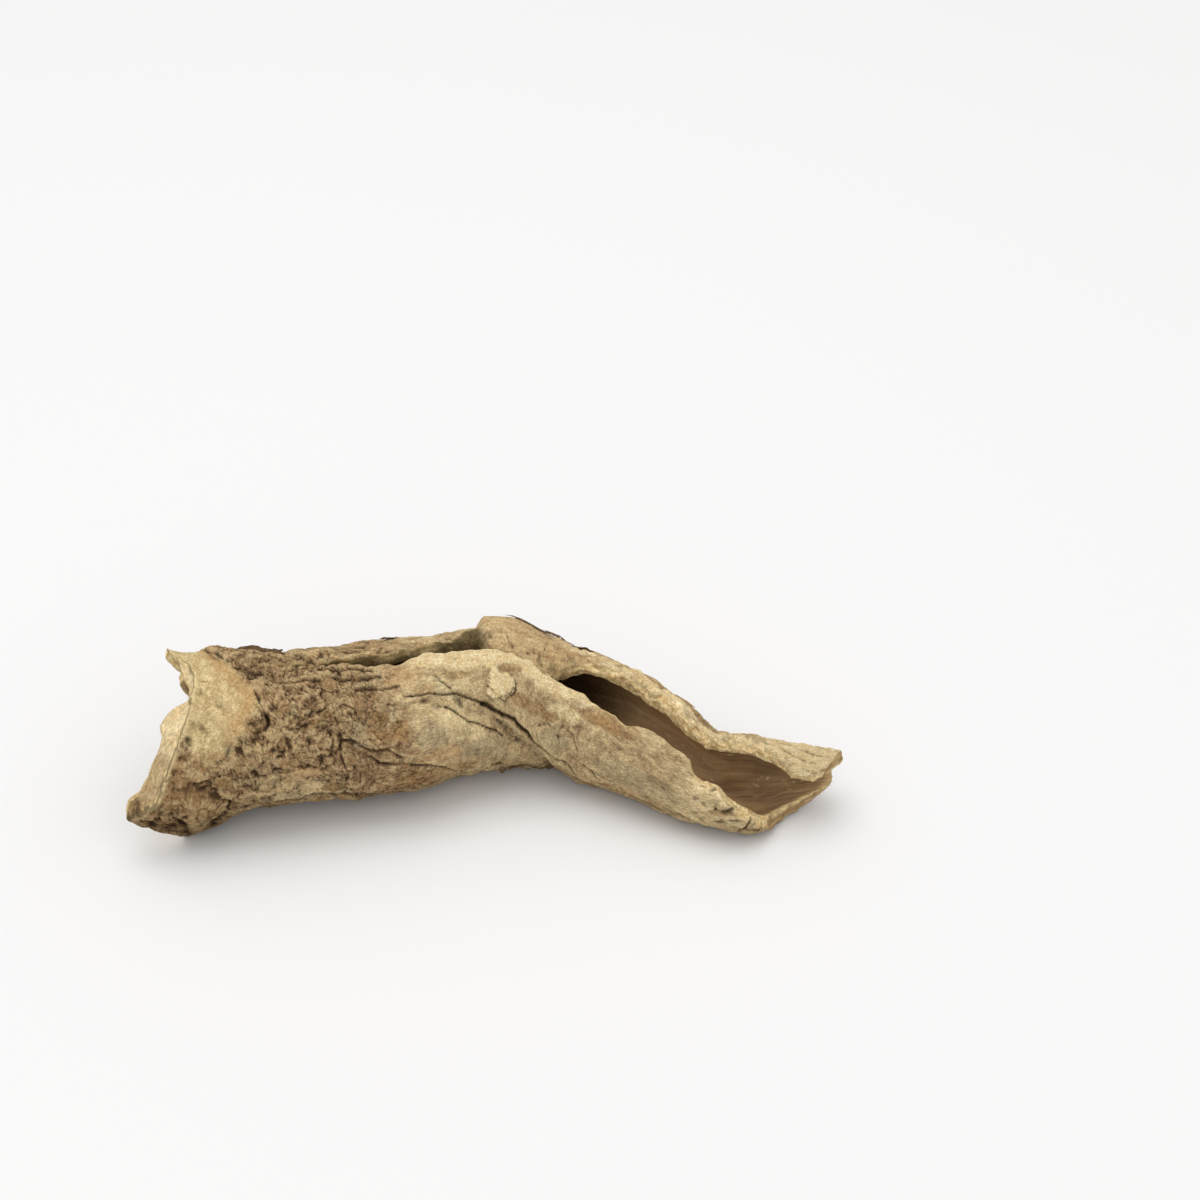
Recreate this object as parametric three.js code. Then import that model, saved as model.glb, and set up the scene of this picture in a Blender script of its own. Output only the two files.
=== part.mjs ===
// A quill of dried root bark: one sheet of bark that curled into a hollow tube as it dried.
// The tube bends in the middle, is split along its top, opens wide towards its right end,
// flares into a foot at its left end, and is torn at both ends.
// Millimetres. X runs along the quill, Y away from the viewer, Z up from the surface it lies on.
import * as THREE from "three";

// Driving dimensions
const wallThickness = 2.0;
const rows = 74; // mesh rows along the quill
const columns = 37; // mesh columns round the quill, from the near edge down, under and up the back
const leftEnd = -37.5; // mean place of each torn end along X
const rightEnd = 42.0;
const footFlare = 3.05; // how far the left end spreads at its foot
const lipRise = 0.9; // the twisted upper lobe stands this far over the lower one
const foldDepth = 0.8; // depth of the fold between those lobes
const tearLift = 1.9; // the torn tongue's corner stands off the tube by this much

// Knots are [X, value] unless said otherwise; a smooth curve runs through them.
const centreY = [
  [-45, 6.6], [-37, 6.8], [-30, 7.4], [-23.5, 8.4], [-17, 10.0], [-10.5, 11.2], [-4.5, 13.6], [2, 15.3],
  [8.5, 14.8], [14.5, 12.8], [21, 8.6], [27.5, 4.4], [34, 2.9], [40, 3.3], [45, 3.6],
];
const centreZ = [
  [-45, 11.3], [-37, 11.2], [-30, 10.8], [-23.5, 10.3], [-17, 10.0], [-10.5, 9.8], [-4.5, 9.3], [2, 8.9],
  [8.5, 8.2], [14.5, 7.8], [21, 7.0], [27.5, 5.6], [34, 5.8], [40, 5.6], [45, 5.7],
];
const tubeRadius = [
  [-45, 9.6], [-37, 9.6], [-30, 9.6], [-23.5, 9.1], [-17, 9.4], [-10.5, 9.5], [-4.5, 9.0], [2, 8.8],
  [8.5, 7.9], [14.5, 7.5], [21, 6.9], [27.5, 5.7], [34, 5.8], [40, 4.6], [45, 3.7],
];

// The two long edges of the sheet, as angles in degrees: 0 faces the viewer, 90 is the top, 180 the back.
const nearEdge = [
  [-45, 136], [-33, 135], [-29.5, 118], [-27, 99], [-22.5, 95], [-16.5, 88], [-10.8, 83], [-7.2, 88],
  [-2.2, 87], [3.8, 80], [5.8, 76], [8.2, 69], [11.5, 64], [16.5, 57], [19.2, 55], [21, 60], [25, 64],
  [26.5, 57], [27.4, 44], [28.5, 35], [29.3, 37], [30.5, 30], [31.6, 13], [32.8, 0], [33.8, -12],
  [34.8, -32], [36.5, -50], [40, -62], [46, -72],
];
const farEdge = [
  [-45, 138.4], [-33, 137.4], [-29.5, 120.6], [-27, 102.2], [-23, 101], [-19, 97], [-16.5, 97],
  [-10.2, 101], [-6.8, 102], [-3, 104], [-1, 108], [2, 108], [7.5, 100], [8.6, 92], [11, 94], [13.5, 108],
  [18, 114], [21, 111], [24, 108], [26.5, 110], [29, 112], [31.8, 108], [34.5, 96], [36.8, 82], [37.8, 64],
  [38.8, 55], [40.8, 54], [42.2, 57], [46, 64],
];
const tongue = { start: 0.1, end: 8.2, blend: 0.7, tip: 62 }; // the stretch that tucks in under the near edge

// The torn ends, as [angle, X]; angles run on from 136 at the near edge to -222 at the far one.
const leftTear = [
  [-222, -37.4], [-212, -37.0], [-190, -38.4], [-160, -37.2], [-130, -38.6], [-100, -37.6], [-75, -37.2],
  [-58, -37.6], [-46, -38.3], [-37, -40.0], [-30, -42.2], [-23, -43.7], [-15, -42.5], [-6, -41.3], [6, -40.2],
  [34, -38.9], [52, -38.3], [60, -37.7], [67, -36.2], [82, -36.0], [96, -36.6], [106, -37.6], [115, -39.0],
  [122, -39.3], [129, -38.4], [136, -37.6],
];
const rightTear = [
  [-330, 42.2], [-310, 42.3], [-290, 43.2], [-260, 44.5], [-228, 45.0], [-210, 44.6], [-180, 44.0],
  [-160, 44.0], [-130, 43.9], [-110, 42.6], [-90, 40.2], [-75, 37.6], [-60, 35.6], [-48, 34.7], [-20, 34.2],
];

// The fold that winds down the near side, as [X, angle].
const foldLine = [
  [-11.5, 61], [-8.5, 52], [-6, 49], [-3.2, 40], [0.5, 24], [5.2, 8], [8.2, -5], [10.2, -20], [13.5, -44],
  [17, -70], [21, -95],
];

const radians = Math.PI / 180;
const clamp01 = (v) => Math.min(Math.max(v, 0), 1);
const smooth = (from, to, v) => {
  const t = clamp01((v - from) / (to - from));
  return t * t * (3 - 2 * t);
};
const hump = (v, centre, halfWidth) => Math.exp(-(((v - centre) / halfWidth) ** 2));

// Smooth curve through knots: cubic pieces whose slopes come from each knot's neighbours.
function along(knots, x) {
  const last = knots.length - 1;
  const at = Math.min(Math.max(x, knots[0][0]), knots[last][0]);
  let i = 0;
  while (i < last - 1 && at >= knots[i + 1][0]) i += 1;
  const slope = (n) => {
    const before = knots[Math.max(n - 1, 0)];
    const after = knots[Math.min(n + 1, last)];
    return (after[1] - before[1]) / (after[0] - before[0]);
  };
  const span = knots[i + 1][0] - knots[i][0];
  const t = (at - knots[i][0]) / span;
  return (
    (2 * t ** 3 - 3 * t ** 2 + 1) * knots[i][1] +
    (t ** 3 - 2 * t ** 2 + t) * span * slope(i) +
    (3 * t ** 2 - 2 * t ** 3) * knots[i + 1][1] +
    (t ** 3 - t ** 2) * span * slope(i + 1)
  );
}

// Even, repeatable unevenness from a few crossed waves, about -1 to 1.
function unevenness(x, angle, scale) {
  const u = x / scale;
  const v = (angle * 0.16) / scale;
  return (
    0.42 * Math.sin(1.3 * u + 2.1 * v + 0.7) +
    0.33 * Math.sin(-2.2 * u + 1.7 * v + 2.3) +
    0.25 * Math.sin(3.1 * u + 3.4 * v + 4.1)
  );
}

// The angle of a sheet column at a place along the quill. share is 0 at the near edge and 1 at the far one.
function columnAngle(share, x) {
  const nearBase = 90;
  const span = 352;
  const base = nearBase - span * (0.72 * share + 0.28 * share * share);
  const tucked = smooth(tongue.start - tongue.blend / 2, tongue.start + tongue.blend / 2, x) *
    (1 - smooth(tongue.end - tongue.blend, tongue.end + tongue.blend, x));
  const near = along(nearEdge, x) + 1.6 * unevenness(x, 0, 0.9);
  const openFar = along(farEdge, x) + 1.6 * unevenness(x, x > -24 ? 40 : 0, 0.9);
  const far = openFar + (tongue.tip - openFar) * tucked - 360;
  return base + (near - nearBase) * (1 - share) ** 1.3 + (far - nearBase + span) * share ** 4;
}

// Distance in millimetres from the fold, along the sheet; positive towards the top.
function foldDistance(x, angle) {
  const inside = clamp01((x - foldLine[0][0]) / 2) * clamp01((foldLine[foldLine.length - 1][0] - x) / 4);
  const lean = 0.72; // the fold runs about 44 degrees across the quill
  return { across: (angle - along(foldLine, x)) * radians * along(tubeRadius, x) * lean, inside };
}

// Radius of the sheet at a place along the quill and an angle round it.
function sheetRadius(x, angle) {
  let r = along(tubeRadius, x);
  r += footFlare * smooth(-28.5, -36.5, x) * hump(angle, -52, 46);
  r += 0.8 * smooth(-33, -38.5, x) * hump(angle, 45, 45); // the torn end's shoulder
  r -= 1.0 * hump(x, -32.5, 3.2) * hump(angle, 48, 55); // the saddle beside it
  r += 0.5 * hump(x, -28, 1.3) * hump(angle, 55, 60); // the saddle's crest
  r += 0.35 * hump(x, -17.4, 1.0) * hump(angle, 0, 75); // a ring like a node
  const fold = foldDistance(x, angle);
  const lobe = smooth(-1.2, 1.6, fold.across) * Math.exp(-Math.max(fold.across, 0) / 7);
  r += fold.inside * lipRise * lobe;
  if (angle < -200) {
    const back = angle + 360; // the same angle, counted up to the far edge
    const inTongue = smooth(tongue.start - 0.5, tongue.start + 0.5, x);
    r += tearLift * inTongue * hump(x, 1.2, 5.5) * hump(back, 126, 16);
    const tuckDepth = 2.7 * inTongue * (1 - smooth(8, 11, x)) + 0.4 * smooth(8, 11, x);
    r -= tuckDepth * smooth(122, 78, back);
  }
  r += 0.45 * hump(x, -33, 4) * (hump(angle, 124, 24) + hump(angle, -236, 24)); // beside the slit's end
  r += 0.6 * smooth(-37, -40, x) * hump(angle, 122, 14); // the horn at the top of the left end
  r += 0.5 * hump(x, 2, 5) * hump(angle, -100, 22); // the two low places that it lies on
  r += 0.35 * hump(x, 30, 5) * hump(angle, -92, 25);
  return r;
}

// Relief that only the outer face has: the fold's floor, knobs and low swellings.
function relief(x, angle) {
  const fold = foldDistance(x, angle);
  const swelling = 0.24 * unevenness(x, angle, 2.2) + 0.1 * unevenness(x + 9, angle, 1.3);
  return swelling - fold.inside * foldDepth * hump(fold.across, -0.6, 1.2);
}

// A point of the sheet, sunk below the outer surface by a depth.
function pointAt(x, angle, depth, reliefShare) {
  const step = 0.25;
  const ty = (along(centreY, x + step) - along(centreY, x - step)) / (2 * step);
  const tz = (along(centreZ, x + step) - along(centreZ, x - step)) / (2 * step);
  const tangent = new THREE.Vector3(1, ty, tz).normalize();
  const side = new THREE.Vector3(tangent.y, -tangent.x, 0).normalize();
  const up = new THREE.Vector3().crossVectors(side, tangent);
  const r = sheetRadius(x, angle) + reliefShare * relief(x, angle) - depth;
  return new THREE.Vector3(x, along(centreY, x), along(centreZ, x))
    .addScaledVector(side, r * Math.cos(angle * radians))
    .addScaledVector(up, r * Math.sin(angle * radians));
}

// Where a sheet row lies along X: evenly spaced, then pulled to the torn ends.
function rowPlace(rowShare, share) {
  const base = leftEnd + (rightEnd - leftEnd) * rowShare;
  const toLeft = along(leftTear, columnAngle(share, leftEnd - 1)) - leftEnd;
  const toRight = along(rightTear, columnAngle(share, rightEnd - 3)) - rightEnd;
  return base + toLeft * (1 - rowShare) ** 5 + toRight * rowShare ** 5;
}

// Both faces of the sheet meet in a strip round its border.
// The outer face stops short there, as it does on torn bark.
function barkGeometry() {
  const positions = [];
  const index = [];
  const id = (face, i, j) => (face * rows + i) * columns + j;
  const thicknessAt = (x) => wallThickness + 0.3 * smooth(-30, -38, x) - 0.35 * smooth(20, 36, x);
  for (const face of [0, 1]) {
    for (let i = 0; i < rows; i += 1) {
      for (let j = 0; j < columns; j += 1) {
        const rowShare = i / (rows - 1);
        const share = j / (columns - 1);
        const angleFirst = columnAngle(share, rowPlace(rowShare, share));
        const outerBack = 0.5 + 1.2 * hump(angleFirst, 15, 50) - 0.5 * hump(angleFirst, 122, 20);
        const innerBack = 1.8 * hump(angleFirst, 118, 18); // the horn at the top of the left end is thin
        const leftBevel = (face === 0 ? outerBack : innerBack) * (1 - rowShare) ** 40;
        const rightBevel = (face === 0 ? 0.5 : 0) * rowShare ** 40;
        const x = rowPlace(rowShare, share) + leftBevel - rightBevel;
        const angle = columnAngle(share, x);
        const fromLongEdge = Math.min(share, 1 - share) * (columns - 1);
        const rounding = 0.28 * Math.max(0, 1 - fromLongEdge);
        const depth = thicknessAt(x) * (face === 0 ? rounding : 1 - rounding);
        const p = pointAt(x, angle, depth, face === 0 ? 1 : 0.25);
        positions.push(p.x, p.y, Math.max(p.z, 0));
      }
    }
  }
  const quad = (a, b, c, d) => index.push(a, b, c, a, c, d);
  for (let i = 0; i < rows - 1; i += 1) {
    for (let j = 0; j < columns - 1; j += 1) {
      quad(id(0, i, j), id(0, i, j + 1), id(0, i + 1, j + 1), id(0, i + 1, j));
      quad(id(1, i, j), id(1, i + 1, j), id(1, i + 1, j + 1), id(1, i, j + 1));
    }
    quad(id(0, i, 0), id(0, i + 1, 0), id(1, i + 1, 0), id(1, i, 0));
    quad(id(0, i, columns - 1), id(1, i, columns - 1), id(1, i + 1, columns - 1), id(0, i + 1, columns - 1));
  }
  for (let j = 0; j < columns - 1; j += 1) {
    quad(id(0, 0, j), id(1, 0, j), id(1, 0, j + 1), id(0, 0, j + 1));
    quad(id(0, rows - 1, j), id(0, rows - 1, j + 1), id(1, rows - 1, j + 1), id(1, rows - 1, j));
  }
  const geometry = new THREE.BufferGeometry();
  geometry.setAttribute("position", new THREE.Float32BufferAttribute(positions, 3));
  geometry.setIndex(index);
  geometry.computeVertexNormals();
  return geometry;
}

const bark = new THREE.Mesh(
  barkGeometry(),
  new THREE.MeshStandardMaterial({ color: 0xa48a6b, roughness: 0.92, metalness: 0 }),
);
bark.name = "root_bark";
bark.geometry.computeBoundingBox();
const middle = bark.geometry.boundingBox.getCenter(new THREE.Vector3());
bark.position.set(-middle.x, -middle.y, 0);

const root = new THREE.Group();
root.add(bark);
export default root;
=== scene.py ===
# One piece of dried root bark that curled into a hollow quill: bent, split along its top, torn at both ends.
# Dictionaries hold millimetres and degrees. Places on the bark are (place along the quill, angle round it).
import bpy
import numpy as np
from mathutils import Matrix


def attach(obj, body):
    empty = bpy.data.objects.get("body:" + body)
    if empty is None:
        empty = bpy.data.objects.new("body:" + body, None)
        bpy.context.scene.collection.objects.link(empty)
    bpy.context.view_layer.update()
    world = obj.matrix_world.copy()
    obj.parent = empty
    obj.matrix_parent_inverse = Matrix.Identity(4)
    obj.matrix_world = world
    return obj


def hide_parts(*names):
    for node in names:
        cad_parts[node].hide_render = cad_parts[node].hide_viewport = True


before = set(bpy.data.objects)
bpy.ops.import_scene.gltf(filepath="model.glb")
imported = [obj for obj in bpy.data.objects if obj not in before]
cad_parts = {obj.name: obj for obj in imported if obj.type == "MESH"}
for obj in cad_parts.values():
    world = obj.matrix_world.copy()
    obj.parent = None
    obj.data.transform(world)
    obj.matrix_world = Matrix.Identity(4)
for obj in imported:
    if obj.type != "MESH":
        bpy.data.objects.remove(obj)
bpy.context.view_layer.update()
mm = 0.001
seed = 7


sheet = dict(
    origin=(-0.992, -9.934, 0.0),  # where the quill's own zero lies in the frame
    patternRadius=8.5,  # turns angles into millimetres round the quill for patterns
    wall=2.0,
    fan=352,  # degrees of sheet round the quill at the left, where its long edges nearly meet
    farSide=-200,  # below this angle a place lies on the far edge's side of the back
    edgeWaver=1.6,  # degrees by which the long edges waver
    waverLength=0.9,
    leftEnd=-37.5,
    rightEnd=42.0,
    footFlare=3.05,  # how far the left end spreads at its foot
    lipRise=0.9,  # the twisted upper lobe stands this far over the lower one
    foldDepth=0.8,  # depth of the fold between the lobes
    tearLift=1.9,  # the torn tongue's corner stands off the tube by this much
    centreY=[
        (-45, 6.6), (-37, 6.8), (-30, 7.4), (-23.5, 8.4), (-17, 10.0), (-10.5, 11.2), (-4.5, 13.6),
        (2, 15.3), (8.5, 14.8), (14.5, 12.8), (21, 8.6), (27.5, 4.4), (34, 2.9), (40, 3.3), (45, 3.6),
    ],
    centreZ=[
        (-45, 11.3), (-37, 11.2), (-30, 10.8), (-23.5, 10.3), (-17, 10.0), (-10.5, 9.8), (-4.5, 9.3),
        (2, 8.9), (8.5, 8.2), (14.5, 7.8), (21, 7.0), (27.5, 5.6), (34, 5.8), (40, 5.6), (45, 5.7),
    ],
    tubeRadius=[
        (-45, 9.6), (-37, 9.6), (-30, 9.6), (-23.5, 9.1), (-17, 9.4), (-10.5, 9.5), (-4.5, 9.0), (2, 8.8),
        (8.5, 7.9), (14.5, 7.5), (21, 6.9), (27.5, 5.7), (34, 5.8), (40, 4.6), (45, 3.7),
    ],
    nearEdge=[  # place along the quill, angle: 0 faces the viewer, 90 is the top, 180 the back
        (-45, 136), (-33, 135), (-29.5, 118), (-27, 99), (-22.5, 95), (-16.5, 88), (-10.8, 83), (-7.2, 88),
        (-2.2, 87), (3.8, 80), (5.8, 76), (8.2, 69), (11.5, 64), (16.5, 57), (19.2, 55), (21, 60), (25, 64),
        (26.5, 57), (27.4, 44), (28.5, 35), (29.3, 37), (30.5, 30), (31.6, 13), (32.8, 0), (33.8, -12),
        (34.8, -32), (36.5, -50), (40, -62), (46, -72),
    ],
    farEdge=[
        (-45, 138.4), (-33, 137.4), (-29.5, 120.6), (-27, 102.2), (-23, 101), (-19, 97), (-16.5, 97),
        (-10.2, 101), (-6.8, 102), (-3, 104), (-1, 108), (2, 108), (7.5, 100), (8.6, 92), (11, 94),
        (13.5, 108), (18, 114), (21, 111), (24, 108), (26.5, 110), (29, 112), (31.8, 108), (34.5, 96),
        (36.8, 82), (37.8, 64), (38.8, 55), (40.8, 54), (42.2, 57), (46, 64),
    ],
    tongueStart=0.1,  # the stretch whose far edge tucks in under the near edge
    tongueEnd=8.2,
    tongueBlend=0.7,
    tongueTip=62,
    leftTear=[  # angle, place along the quill: from 136 at the near edge on to -222 at the far one
        (-222, -37.4), (-212, -37.0), (-190, -38.4), (-160, -37.2), (-130, -38.6), (-100, -37.6),
        (-75, -37.2), (-58, -37.6), (-46, -38.3), (-37, -40.0), (-30, -42.2), (-23, -43.7), (-15, -42.5),
        (-6, -41.3), (6, -40.2), (34, -38.9), (52, -38.3), (60, -37.7), (67, -36.2), (82, -36.0),
        (96, -36.6), (106, -37.6), (115, -39.0), (122, -39.3), (129, -38.4), (136, -37.6),
    ],
    rightTear=[
        (-330, 42.2), (-310, 42.3), (-290, 43.2), (-260, 44.5), (-228, 45.0), (-210, 44.6), (-180, 44.0),
        (-160, 44.0), (-130, 43.9), (-110, 42.6), (-90, 40.2), (-75, 37.6), (-60, 35.6), (-48, 34.7),
        (-20, 34.2),
    ],
    foldLine=[  # the fold that winds down the near side: place along the quill, angle
        (-11.5, 61), (-8.5, 52), (-6, 49), (-3.2, 40), (0.5, 24), (5.2, 8), (8.2, -5), (10.2, -20),
        (13.5, -44), (17, -70), (21, -95),
    ],
    foldLean=0.72,  # the fold runs about 44 degrees across the quill
    flares=[  # height, where it starts, where it is full, angle, half width in degrees
        (0.8, -33, -38.5, 45, 45), (0.6, -37, -40, 122, 14),
    ],
    swellings=[  # height, place, half length, angle, half width in degrees
        (-1.0, -32.5, 3.2, 48, 55), (0.5, -28, 1.3, 55, 60), (0.35, -17.4, 1.0, 0, 75),
        (0.45, -33, 4, 124, 24), (0.45, -33, 4, -236, 24), (0.5, 2, 5, -100, 22), (0.35, 30, 5, -92, 25),
    ],
)


def clamp01(v):
    # Cut off below 0 and above 1.
    return np.clip(v, 0.0, 1.0)


def smooth(low, high, v):
    # An even S-shaped step from 0 at low to 1 at high; low may be the larger of the two.
    t = clamp01((v - low) / (high - low))
    return t * t * (3 - 2 * t)


def hump(v, centre, halfWidth):
    # A bell: e to the power of minus the squared distance from the centre, in half widths.
    return np.exp(-(((v - centre) / halfWidth) ** 2))


def along(knots, x):
    # Smooth curve through (place, value) knots: cubic pieces whose slopes come from each knot's neighbours.
    place, value = np.array(knots, float).T
    slope = np.empty_like(value)
    slope[1:-1] = (value[2:] - value[:-2]) / (place[2:] - place[:-2])
    slope[0] = (value[1] - value[0]) / (place[1] - place[0])
    slope[-1] = (value[-1] - value[-2]) / (place[-1] - place[-2])
    at = np.clip(x, place[0], place[-1])
    i = np.clip(np.searchsorted(place, at, side="right") - 1, 0, len(place) - 2)
    span = place[i + 1] - place[i]
    t = (at - place[i]) / span
    return (
        (2 * t**3 - 3 * t**2 + 1) * value[i]
        + (t**3 - 2 * t**2 + t) * span * slope[i]
        + (3 * t**2 - 2 * t**3) * value[i + 1]
        + (t**3 - t**2) * span * slope[i + 1]
    )


def girth(angle):
    # Millimetres round the quill for an angle, for patterns.
    return np.radians(angle) * sheet["patternRadius"]


def unevenness(x, angle, scale):
    # Three crossed sine waves, the same ones that the solid has.
    u, v = x / scale, angle * 0.16 / scale
    return (
        0.42 * np.sin(1.3 * u + 2.1 * v + 0.7)
        + 0.33 * np.sin(-2.2 * u + 1.7 * v + 2.3)
        + 0.25 * np.sin(3.1 * u + 3.4 * v + 4.1)
    )


def columnAngle(share, x):
    # Angle of a sheet column: a fan round the quill, pulled to the near edge at share 0, to the far one at 1.
    first, last = 90, 90 - sheet["fan"]
    base = first - sheet["fan"] * (0.72 * share + 0.28 * share**2)
    half = sheet["tongueBlend"] / 2
    tucked = smooth(sheet["tongueStart"] - half, sheet["tongueStart"] + half, x) * (
        1 - smooth(sheet["tongueEnd"] - 2 * half, sheet["tongueEnd"] + 2 * half, x)
    )
    waver, waverLength = sheet["edgeWaver"], sheet["waverLength"]
    near = along(sheet["nearEdge"], x) + waver * unevenness(x, 0, waverLength)
    openFar = along(sheet["farEdge"], x) + waver * unevenness(x, np.where(x > -24, 40, 0), waverLength)
    far = openFar + (sheet["tongueTip"] - openFar) * tucked - 360
    return base + (near - first) * (1 - share) ** 1.3 + (far - last) * share**4


def foldDistance(x, angle):
    # Millimetres from the fold, positive towards the top, and how far inside the fold's run the place is.
    line = sheet["foldLine"]
    inside = clamp01((x - line[0][0]) / 2) * clamp01((line[-1][0] - x) / 4)
    return np.radians(angle - along(line, x)) * along(sheet["tubeRadius"], x) * sheet["foldLean"], inside


def sheetRadius(x, angle):
    # The tube's radius plus the foot's flare, the lobe over the fold, the lifted tongue, and smaller bells.
    r = along(sheet["tubeRadius"], x)
    r = r + sheet["footFlare"] * smooth(-28.5, -36.5, x) * hump(angle, -52, 46)
    for height, start, full, middle, half in sheet["flares"]:
        r = r + height * smooth(start, full, x) * hump(angle, middle, half)
    for height, place, halfLength, middle, half in sheet["swellings"]:
        r = r + height * hump(x, place, halfLength) * hump(angle, middle, half)
    across, inside = foldDistance(x, angle)
    r = r + inside * sheet["lipRise"] * smooth(-1.2, 1.6, across) * np.exp(-np.maximum(across, 0) / 7)
    back = angle + 360  # the same angle, counted up to the far edge
    inTongue = smooth(sheet["tongueStart"] - 0.5, sheet["tongueStart"] + 0.5, x)
    lift = sheet["tearLift"] * inTongue * hump(x, 1.2, 5.5) * hump(back, 126, 16)
    tuckDepth = 2.7 * inTongue * (1 - smooth(8, 11, x)) + 0.4 * smooth(8, 11, x)
    return r + np.where(angle < sheet["farSide"], lift - tuckDepth * smooth(122, 78, back), 0)


def lowRelief(x, angle):
    # The solid's own swellings and the floor of the fold.
    across, inside = foldDistance(x, angle)
    swelling = 0.24 * unevenness(x, angle, 2.2) + 0.1 * unevenness(x + 9, angle, 1.3)
    return swelling - inside * sheet["foldDepth"] * hump(across, -0.6, 1.2)


def sheetAxes(x):
    # The centre line's point and two directions square to it: side faces the viewer, up is the tube's top.
    step = 0.25
    ty = (along(sheet["centreY"], x + step) - along(sheet["centreY"], x - step)) / (2 * step)
    tz = (along(sheet["centreZ"], x + step) - along(sheet["centreZ"], x - step)) / (2 * step)
    length = np.sqrt(1 + ty**2 + tz**2)
    tangent = np.stack([1 / length, ty / length, tz / length], -1)
    flat = np.hypot(tangent[..., 0], tangent[..., 1])
    side = np.stack([tangent[..., 1] / flat, -tangent[..., 0] / flat, np.zeros_like(flat)], -1)
    centre = np.stack([x, along(sheet["centreY"], x), along(sheet["centreZ"], x)], -1)
    return centre, side, np.cross(side, tangent)


def rowPlace(rowShare, share):
    # A row's place along X: evenly spaced, then pulled out to the torn ends by the fifth power.
    left, right = sheet["leftEnd"], sheet["rightEnd"]
    toLeft = along(sheet["leftTear"], columnAngle(share, left - 1)) - left
    toRight = along(sheet["rightTear"], columnAngle(share, right - 3)) - right
    return left + (right - left) * rowShare + toLeft * (1 - rowShare) ** 5 + toRight * rowShare**5


def thicknessAt(x):
    # The wall, thicker at the foot and thinner along the trough.
    return sheet["wall"] + 0.3 * smooth(-30, -38, x) - 0.35 * smooth(20, 36, x)


def lattice(i, j, seed):
    # A repeatable number from 0 to 1 for each whole-number point.
    n = (i * 73856093) ^ (j * 19349663) ^ (seed * 83492791)
    n = ((n ^ (n >> 13)) & 0x7FFFFFFF) * 1274126177
    return ((n ^ (n >> 16)) & 0xFFFFFF) / 16777215.0


def noise(u, v, seed):
    # Lattice numbers blended by an S-shaped step between whole-number points, from -1 to 1.
    u, v = np.broadcast_arrays(np.asarray(u, float), np.asarray(v, float))
    i, j = np.floor(u).astype(np.int64), np.floor(v).astype(np.int64)
    a, b = u - i, v - j
    a, b = a * a * (3 - 2 * a), b * b * (3 - 2 * b)
    low = lattice(i, j, seed) * (1 - a) + lattice(i + 1, j, seed) * a
    high = lattice(i, j + 1, seed) * (1 - a) + lattice(i + 1, j + 1, seed) * a
    return 2 * (low * (1 - b) + high * b) - 1


def layered(u, v, octaves, seed):
    # Noise added to itself twice as fine and 0.55 times as strong, for each octave.
    total, strength, size = 0.0, 1.0, 0.0
    for octave in range(octaves):
        finer = 2**octave
        total = total + strength * noise(u * finer + 5.2 * octave, v * finer - 3.7 * octave, seed + octave)
        size += strength
        strength *= 0.55
    return total / size * 1.5


def lineDistance(line, u, v):
    # Shortest distance to a chain of places, and 1 above it or -1 below it.
    nearest, side = np.full(u.shape, 99.0), np.ones(u.shape)
    ends = [(place, girth(angle)) for place, angle in line]
    for (u0, v0), (u1, v1) in zip(ends, ends[1:]):
        du, dv = u1 - u0, v1 - v0
        t = clamp01(((u - u0) * du + (v - v0) * dv) / (du**2 + dv**2))
        awayU, awayV = u - u0 - t * du, v - v0 - t * dv
        away = np.hypot(awayU, awayV)
        side = np.where(away < nearest, np.sign(awayV * du - awayU * dv), side)
        nearest = np.minimum(nearest, away)
    return nearest, side


def spot(x, angle, place, halfLength, halfHeight):
    # A round-edged patch, 1 in the middle and 0 outside; its place is (place along the quill, angle).
    lengthwise, crosswise = (x - place[0]) / halfLength, girth(angle - place[1]) / halfHeight
    return np.exp(-((lengthwise**2 + crosswise**2) ** 1.5))


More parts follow.
